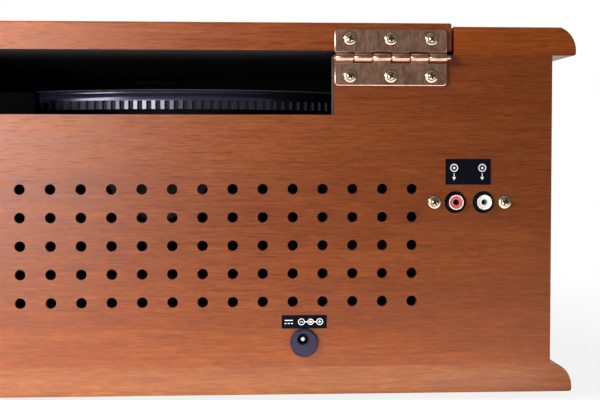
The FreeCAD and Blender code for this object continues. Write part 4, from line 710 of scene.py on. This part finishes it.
def makeSigns():
    look = signLook
    outlets = []
    for side in (-1, 1):
        x = side * look["outletReach"]
        outlets += ringShape(x, look["ringHeight"], *look["ring"])
        outlets += ringShape(x, look["ringHeight"], look["dot"], 0)
        stemY, stemLength = look["stem"]
        outlets += barShape(x, stemY, look["stroke"], stemLength) + arrowShape(x, *look["arrow"])
    lineSigns = printShapes("lineSigns", outlets, rearPlace(look["lineMiddle"]), look["film"],
                            finishes["printWhite"])
    stroke = look["stroke"]
    shapes = barShape(*look["directBar"], stroke)
    for dash in look["dashes"]:
        shapes += barShape(dash, *look["dash"], stroke)
    middle = look["poleMiddle"]
    for side in (-1, 1):
        x = middle + side * look["poleReach"]
        shapes += ringShape(x, 0.0, *look["poleRing"]) + barShape(x, 0.0, *look["poleBar"])
        shapes += barShape(middle + side * look["linkReach"], 0.0, look["linkLength"], stroke)
    armHeight, armWidth, armLength = look["plusArm"]
    plusX = middle + look["poleReach"]
    for rise in (armHeight, -armHeight):
        shapes += barShape(plusX, rise, armWidth, armLength)
    shapes += ringShape(middle, 0.0, *look["coreRing"]) + ringShape(middle, 0.0, look["coreDot"], 0)
    directSigns = printShapes("directSigns", shapes, rearPlace(look["directMiddle"]), look["film"],
                              finishes["printWhite"])
    inletShadeRing = printShapes("inletShadeRing", ringShape(0.0, 0.0, *look["inletShadeRing"]), rearPlace(look["inletMiddle"]),
                           look["film"], finishes["label_black"])
    for piece in (lineSigns, directSigns, inletShadeRing):
        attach(piece, "cabinet")


# Tuning scale: a ring of ticks and two rows of plain numbers on the dial plate
scaleLook = {
    "ticks": {"Count": 41, "Sweep": 4.1888, "Radius": 0.0378, "Long": 0.0042, "Short": 0.0022,
              "Width": 0.00045, "Film": 0.00012},
    "longEvery": 4.0, "middle": (0.0, -0.1596, 0.128), "film": 0.00012,
    "outer": ("88", "92", "96", "100", "104", "108"), "outerRadius": 0.0325, "outerSize": 0.0056,
    "inner": ("54", "60", "70", "80", "100", "130", "160"), "innerRadius": 0.0225, "innerSize": 0.0044,
}


def tickTree(finish):
    tree, sizes = startTree("scaleTicks", scaleLook["ticks"])
    line = addNode(tree, "GeometryNodeMeshLine",
                   {"Count": sizes["Count"], "Offset": (0, 0, 0)}).outputs["Mesh"]
    index = nodeOut(tree, "GeometryNodeInputIndex")
    share = sums(tree, "DIVIDE", index, sums(tree, "SUBTRACT", sizes["Count"], 1.0))
    angle = times(tree, sums(tree, "SUBTRACT", share, 0.5), sizes["Sweep"])
    major = sums(tree, "LESS_THAN", sums(tree, "FLOORED_MODULO", index, scaleLook["longEvery"]), 0.5)
    length = plus(tree, sizes["Short"],
                  times(tree, major, sums(tree, "SUBTRACT", sizes["Long"], sizes["Short"])))
    along = sums(tree, "SUBTRACT", sizes["Radius"], times(tree, length, 0.5))
    spot = vector(tree, times(tree, sums(tree, "SINE", angle, 0.0), along),
                  times(tree, sizes["Film"], -0.5),
                  times(tree, sums(tree, "COSINE", angle, 0.0), along))
    points = nodeOut(tree, "GeometryNodeSetPosition", {"Geometry": line, "Position": spot})
    tick = addNode(tree, "GeometryNodeMeshCube", {"Size": (1, 1, 1)}).outputs["Mesh"]
    turned = nodeOut(tree, "FunctionNodeAxisAngleToRotation", {"Axis": (0, 1, 0), "Angle": angle})
    placed = nodeOut(tree, "GeometryNodeInstanceOnPoints",
                     {"Points": points, "Instance": tick, "Rotation": turned,
                      "Scale": vector(tree, sizes["Width"], sizes["Film"], length)})
    endTree(tree, onPoints(tree, sizes["Geometry"], placed), finish)
    return tree


def numberShape(text, size, film):
    curve = bpy.data.curves.new("number", "FONT")
    curve.body = text
    curve.size = size
    curve.align_x = "CENTER"
    curve.align_y = "CENTER"
    curve.extrude = film / 2
    curve.resolution_u = 3
    holder = linkPiece("numberCurve", curve)
    graph = bpy.context.evaluated_depsgraph_get()
    mesh = bpy.data.meshes.new_from_object(holder.evaluated_get(graph))
    bpy.data.objects.remove(holder)
    bpy.data.curves.remove(curve)
    return mesh


def printNumbers(name, numbers, film, finish):
    form = bmesh.new()
    for text, size, place in numbers:
        mesh = numberShape(text, size, film)
        mesh.transform(place)
        form.from_mesh(mesh)
        bpy.data.meshes.remove(mesh)
    bmesh.ops.remove_doubles(form, verts=form.verts, dist=weldGap)
    bmesh.ops.recalc_face_normals(form, faces=form.faces)
    return linkPiece(name, meshFrom(name, form, finish))


def makeScale():
    look = scaleLook
    tree = tickTree(finishes["printBrown"])
    ticks = grow("scaleTicks", tree, look["ticks"], [look["middle"]])
    middle = Vector(look["middle"])
    facing = Matrix.Rotation(math.pi / 2, 4, "X")
    numbers = []
    for row in ("outer", "inner"):
        words = look[row]
        for i, text in enumerate(words):
            angle = look["ticks"]["Sweep"] * (i / (len(words) - 1) - 0.5)
            radius = look[row + "Radius"]
            spot = middle + Vector((math.sin(angle) * radius, -look["film"] / 2, math.cos(angle) * radius))
            numbers.append((text, look[row + "Size"], Matrix.Translation(spot) @ facing))
    figures = printNumbers("scaleNumbers", numbers, look["film"], finishes["printBrown"])
    for piece in (ticks, figures):
        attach(piece, "cabinet")


# Speed numbers beside the speed lever, and stop and play signs beside the stop lever, on the deck
deckLook = {"top": 0.163, "film": 0.0001, "numberX": 0.179, "size": 0.0065,
            "speeds": (("33", -0.0471), ("45", -0.0401), ("78", -0.0331)), "stopY": -0.0821,
            "signReach": 0.007, "stopRing": (0.0022, 0.0016), "playBar": (0.0007, 0.0044)}


def makeDeckSigns():
    look = deckLook
    film = look["film"]
    numbers = [(text, look["size"], Matrix.Translation((look["numberX"], y, look["top"] + film / 2)))
               for text, y in look["speeds"]]
    speeds = printNumbers("speedNumbers", numbers, film, finishes["printWhite"])
    shapes = ringShape(0.0, look["signReach"], *look["stopRing"])
    shapes += barShape(0.0, -look["signReach"], *look["playBar"])
    spot = Matrix.Translation((look["numberX"], look["stopY"], look["top"]))
    stops = printShapes("stopSigns", shapes, spot, film, finishes["printWhite"])
    for piece in (speeds, stops):
        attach(piece, "cabinet")


# Hinge leaves: rounded plates and rolled knuckles, with the case leaf's knuckle first
hingeLook = {"near": 0.117, "length": 0.064, "back": 0.1824, "metal": 0.0013, "axisY": 0.1850,
             "axisZ": 0.1953, "reach": 0.016, "barrel": 0.0026, "bore": 0.0014, "clear": 0.0030,
             "gap": 0.00022, "corner": 0.0020, "edge": 0.00055, "edgeBreak": 0.3, "tabSink": 0.2,
             "bendShare": 0.55, "bendBulge": 0.0004, "tabTop": 0.0016, "knuckles": 3,
             "cornerSteps": 6, "sharp": 0.7}


def addRing(form, x, radius, steps=28):
    look = hingeLook
    turns = [2 * math.pi * i / steps for i in range(steps)]
    return [form.verts.new((x, look["axisY"] + radius * math.cos(t), look["axisZ"] + radius * math.sin(t)))
            for t in turns]


# Faces from each ring of points to the next, and from the last to the first
def closeRings(form, rings):
    for first, second in zip(rings, rings[1:] + rings[:1]):
        for i in range(len(first)):
            j = (i + 1) % len(first)
            form.faces.new((first[i], first[j], second[j], second[i]))


def addKnuckle(form, low, high):
    look = hingeLook
    outer, edge, bore = look["barrel"], look["edge"], look["bore"]
    small = edge * look["edgeBreak"]
    stops = [(low, bore), (low, outer - edge), (low + small, outer - small), (low + edge, outer),
             (high - edge, outer), (high - small, outer - small), (high, outer - edge), (high, bore)]
    closeRings(form, [addRing(form, x, radius) for x, radius in stops])


def addPlate(form, low, high, up):
    look = hingeLook
    inner = look["axisZ"] + look["clear"] * up
    outer = look["axisZ"] + look["reach"] * up
    corner, edge, steps = look["corner"], look["edge"], look["cornerSteps"]
    outline = [(low, inner)]
    for x, sign in ((low, 1), (high, -1)):
        arc = [math.pi / 2 * i / steps for i in range(steps + 1)]
        spots = [(x + sign * corner * (1 - math.sin(t)), outer - up * corner * (1 - math.cos(t)))
                 for t in arc]
        outline += spots[::-1] if sign > 0 else spots
    outline.append((high, inner))
    middleX, middleZ = (low + high) / 2, (inner + outer) / 2
    halfX, halfZ = (high - low) / 2, abs(outer - inner) / 2
    layers = []
    face = look["back"] + look["metal"]
    small = edge * look["edgeBreak"]
    for y, inset in ((look["back"], 0.0), (face - edge, 0.0), (face - small, small), (face, edge)):
        layers.append([form.verts.new((middleX + (x - middleX) * (1 - inset / halfX), y,
                                       middleZ + (z - middleZ) * (1 - inset / halfZ))) for x, z in outline])
    for step, (first, second) in enumerate(zip(layers, layers[1:])):
        for i in range(len(outline)):
            j = (i + 1) % len(outline)
            side = form.faces.new((first[i], first[j], second[j], second[i]))
            # Bevel faces take the lighter brass, a painted highlight on the edges
            side.material_index = 1 if step > 0 else 0
    return [form.faces.new(layers[0]), form.faces.new(layers[-1])]


def addTab(form, low, high, up):
    look = hingeLook
    inner = look["axisZ"] + (look["clear"] + look["edge"]) * up
    back, front = look["back"], look["back"] + look["metal"] - look["edge"] * look["tabSink"]
    bend = look["axisZ"] + look["barrel"] * look["bendShare"] * up
    section = [(back, inner), (front, inner), (front + look["bendBulge"], bend),
               (look["axisY"] - look["tabTop"], look["axisZ"]), (back, look["axisZ"])]
    ends = [[form.verts.new((x, y, z)) for y, z in section] for x in (low, high)]
    for i in range(len(section)):
        j = (i + 1) % len(section)
        form.faces.new((ends[0][i], ends[0][j], ends[1][j], ends[1][i]))
    form.faces.new(ends[0])
    form.faces.new(ends[1])


def makeHinges():
    look = hingeLook
    step = look["length"] / (2 * look["knuckles"])
    for name, body, node, up, order in (("caseLeaves", "cabinet", "hinge_case_leaves", -1, 0),
                                        ("lidLeaves", "lid", "hinge_lid_leaves", 1, 1)):
        form = bmesh.new()
        flatFaces = []
        for side in (-1, 1):
            ends = sorted((side * look["near"], side * (look["near"] + look["length"])))
            flatFaces += addPlate(form, ends[0], ends[1], up)
            for turn in range(look["knuckles"]):
                start = look["near"] + step * (2 * turn + order) + look["gap"]
                stop = look["near"] + step * (2 * turn + order + 1) - look["gap"]
                low, high = sorted((side * start, side * stop))
                addTab(form, low, high, up)
                addKnuckle(form, low, high)
        bmesh.ops.recalc_face_normals(form, faces=form.faces)
        form.faces.index_update()
        flatNumbers = [face.index for face in flatFaces]
        mesh = meshFrom(name, form, finishes["brass"], finishes["wornHighlightBrass"])
        mesh.set_sharp_from_angle(angle=look["sharp"])
        for number in flatNumbers:
            mesh.polygons[number].use_smooth = False
        leaves = linkPiece(name, mesh)
        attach(leaves, body)
        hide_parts(node)
    print("hinge leaves ready")


# Raised lip round the platter's shoulder
lipLook = {"centre": (-0.029, 0.0224), "steps": 180, "sharp": 0.9,
           "section": ((0.1338, 0.1770), (0.1338, 0.17762), (0.1370, 0.17765), (0.1377, 0.17750),
                       (0.1380, 0.17710), (0.1381, 0.17600), (0.1372, 0.17540))}


def makeLip():
    look = lipLook
    form = bmesh.new()
    middleX, middleY = look["centre"]
    rings = []
    for i in range(look["steps"]):
        turn = 2 * math.pi * i / look["steps"]
        rings.append([form.verts.new((middleX + r * math.cos(turn), middleY + r * math.sin(turn), z))
                      for r, z in look["section"]])
    closeRings(form, rings)
    bmesh.ops.recalc_face_normals(form, faces=form.faces)
    mesh = meshFrom("platterLip", form, nodeFinishes["platter"])
    mesh.set_sharp_from_angle(angle=look["sharp"])
    lip = linkPiece("platterLip", mesh)
    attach(lip, "platter")


makeHinges()
makeLip()
makeScrews()
makePads()
makeMat()
makeCloth()
makeSigns()
makeScale()
makeDeckSigns()
print("added pieces ready")

# Floor, lights and camera
stageLook = {"floorSize": 8.0, "floorColour": (0.66, 0.66, 0.66), "nearWhite": 0.86, "nearReach": 0.34,
             "farReach": 0.70, "floorRough": 0.9, "mottleScale": (3, 3, 3), "mottleDetail": 2.0,
             "mottleDim": 0.99, "worldFill": 0.09}
lampLook = {
    "keyLamp": {"spot": (0.31, 0.41, 0.34), "aim": (0.10, 0.18, 0.11), "size": (0.16, 0.20), "power": 4.7},
    "sheenLamp": {"spot": (0.53, 1.60, 0.21), "aim": (0.0, 0.18, 0.13), "size": (0.7, 0.40), "power": 52.0,
                  "glossOnly": True},
    "tableSheen": {"spot": (0.0, 0.41, 0.003), "aim": (0.0, 0.41, 1.0), "size": (1.3, 0.44), "power": 16.0,
                   "glossOnly": True},
    "tableLamp": {"spot": (0.0, 0.225, 0.0045), "aim": (0.0, 0.182, 0.010), "size": (0.5, 0.008),
                  "power": 0.13},
    "topLamp": {"spot": (0.1, 0.45, 1.4), "aim": (0.0, 0.2, 0.0), "size": (1.0, 1.0), "power": 4.5},
    "frontLamp": {"spot": (0.7, -1.3, 0.9), "aim": (0.0, -0.1, 0.1), "size": (0.9, 0.9), "power": 16.0},
    "sideLamp": {"spot": (-1.3, -0.2, 0.8), "aim": (0.0, 0.0, 0.1), "size": (0.8, 0.8), "power": 7.0},
}
cameraLook = {"spot": (-0.0540, 0.8886, 0.1428), "aim": (-0.0976, 0.1824, 0.1148), "lens": 75.0}


# One for rays from the camera, a mirror or a clear piece
def seenRay(tree):
    path = addNode(tree, "ShaderNodeLightPath")
    seen = sums(tree, "MAXIMUM", path.outputs["Is Camera Ray"], path.outputs["Is Glossy Ray"])
    return sums(tree, "MAXIMUM", seen, path.outputs["Is Transmission Ray"])


def makeFloor():
    look = stageLook
    mesh = bpy.data.meshes.new("floor")
    reach = look["floorSize"]
    mesh.from_pydata([(-reach, -reach, 0), (reach, -reach, 0), (reach, reach, 0), (-reach, reach, 0)], [],
                     [(0, 1, 2, 3)])
    floor = linkPiece("floor", mesh)
    finish, tree, shader = newFinish("paleFloor")
    mottled = noise(tree, objectPlace(tree, look["mottleScale"]), look["mottleDetail"])
    pale = look["floorColour"]
    dim = tuple(c * look["mottleDim"] for c in pale)
    setInputs(tree, shader, {"Base Color": ramp(tree, mottled, noiseRange, (dim, pale)),
                             "Roughness": look["floorRough"], "Specular IOR Level": 0.0})
    distance = addNode(tree, "ShaderNodeVectorMath", {0: objectPlace(tree)},
                       operation="LENGTH").outputs["Value"]
    share = spread(tree, distance, look["nearReach"], look["farReach"], look["nearWhite"], 1.0)
    share = times(tree, share, seenRay(tree))
    white = addNode(tree, "ShaderNodeEmission", {"Strength": 1.0})
    mixed = addNode(tree, "ShaderNodeMixShader", {0: share, 1: shader.outputs[0], 2: white.outputs[0]})
    tree.links.new(mixed.outputs[0], tree.nodes["Material Output"].inputs["Surface"])
    mesh.materials.append(finish)


# A lamp or camera at a spot, turned to what it is aimed at
def aimPiece(name, data, spot, aim):
    piece = linkPiece(name, data)
    piece.location = spot
    piece.rotation_mode = "QUATERNION"
    piece.rotation_quaternion = (Vector(aim) - Vector(spot)).to_track_quat("-Z", "Y")
    return piece


def makeLamp(name, spot, aim, size, power, glossOnly=False):
    data = bpy.data.lights.new(name, "AREA")
    data.shape = "RECTANGLE"
    data.size, data.size_y = size
    data.energy = power
    lamp = aimPiece(name, data, spot, aim)
    lamp.visible_camera = False
    lamp.visible_diffuse = not glossOnly


def makeWorld():
    world = bpy.data.worlds.new("paleStudio")
    bpy.context.scene.world = world
    world.use_nodes = True
    tree = world.node_tree
    tree.nodes.clear()
    fill, white = (addNode(tree, "ShaderNodeBackground", {"Color": (1, 1, 1, 1), "Strength": strength})
                   for strength in (stageLook["worldFill"], 1.0))
    mixed = addNode(tree, "ShaderNodeMixShader", {0: seenRay(tree), 1: fill.outputs[0], 2: white.outputs[0]})
    output = addNode(tree, "ShaderNodeOutputWorld")
    tree.links.new(mixed.outputs[0], output.inputs["Surface"])


makeFloor()
makeWorld()
for name, lampRow in lampLook.items():
    makeLamp(name, **lampRow)
cameraData = bpy.data.cameras.new("photoCamera")
cameraData.lens = cameraLook["lens"]
camera = aimPiece("photoCamera", cameraData, cameraLook["spot"], cameraLook["aim"])
bpy.context.scene.camera = camera
bpy.context.scene.view_settings.view_transform = "Standard"
print("stage, lamps and camera ready")
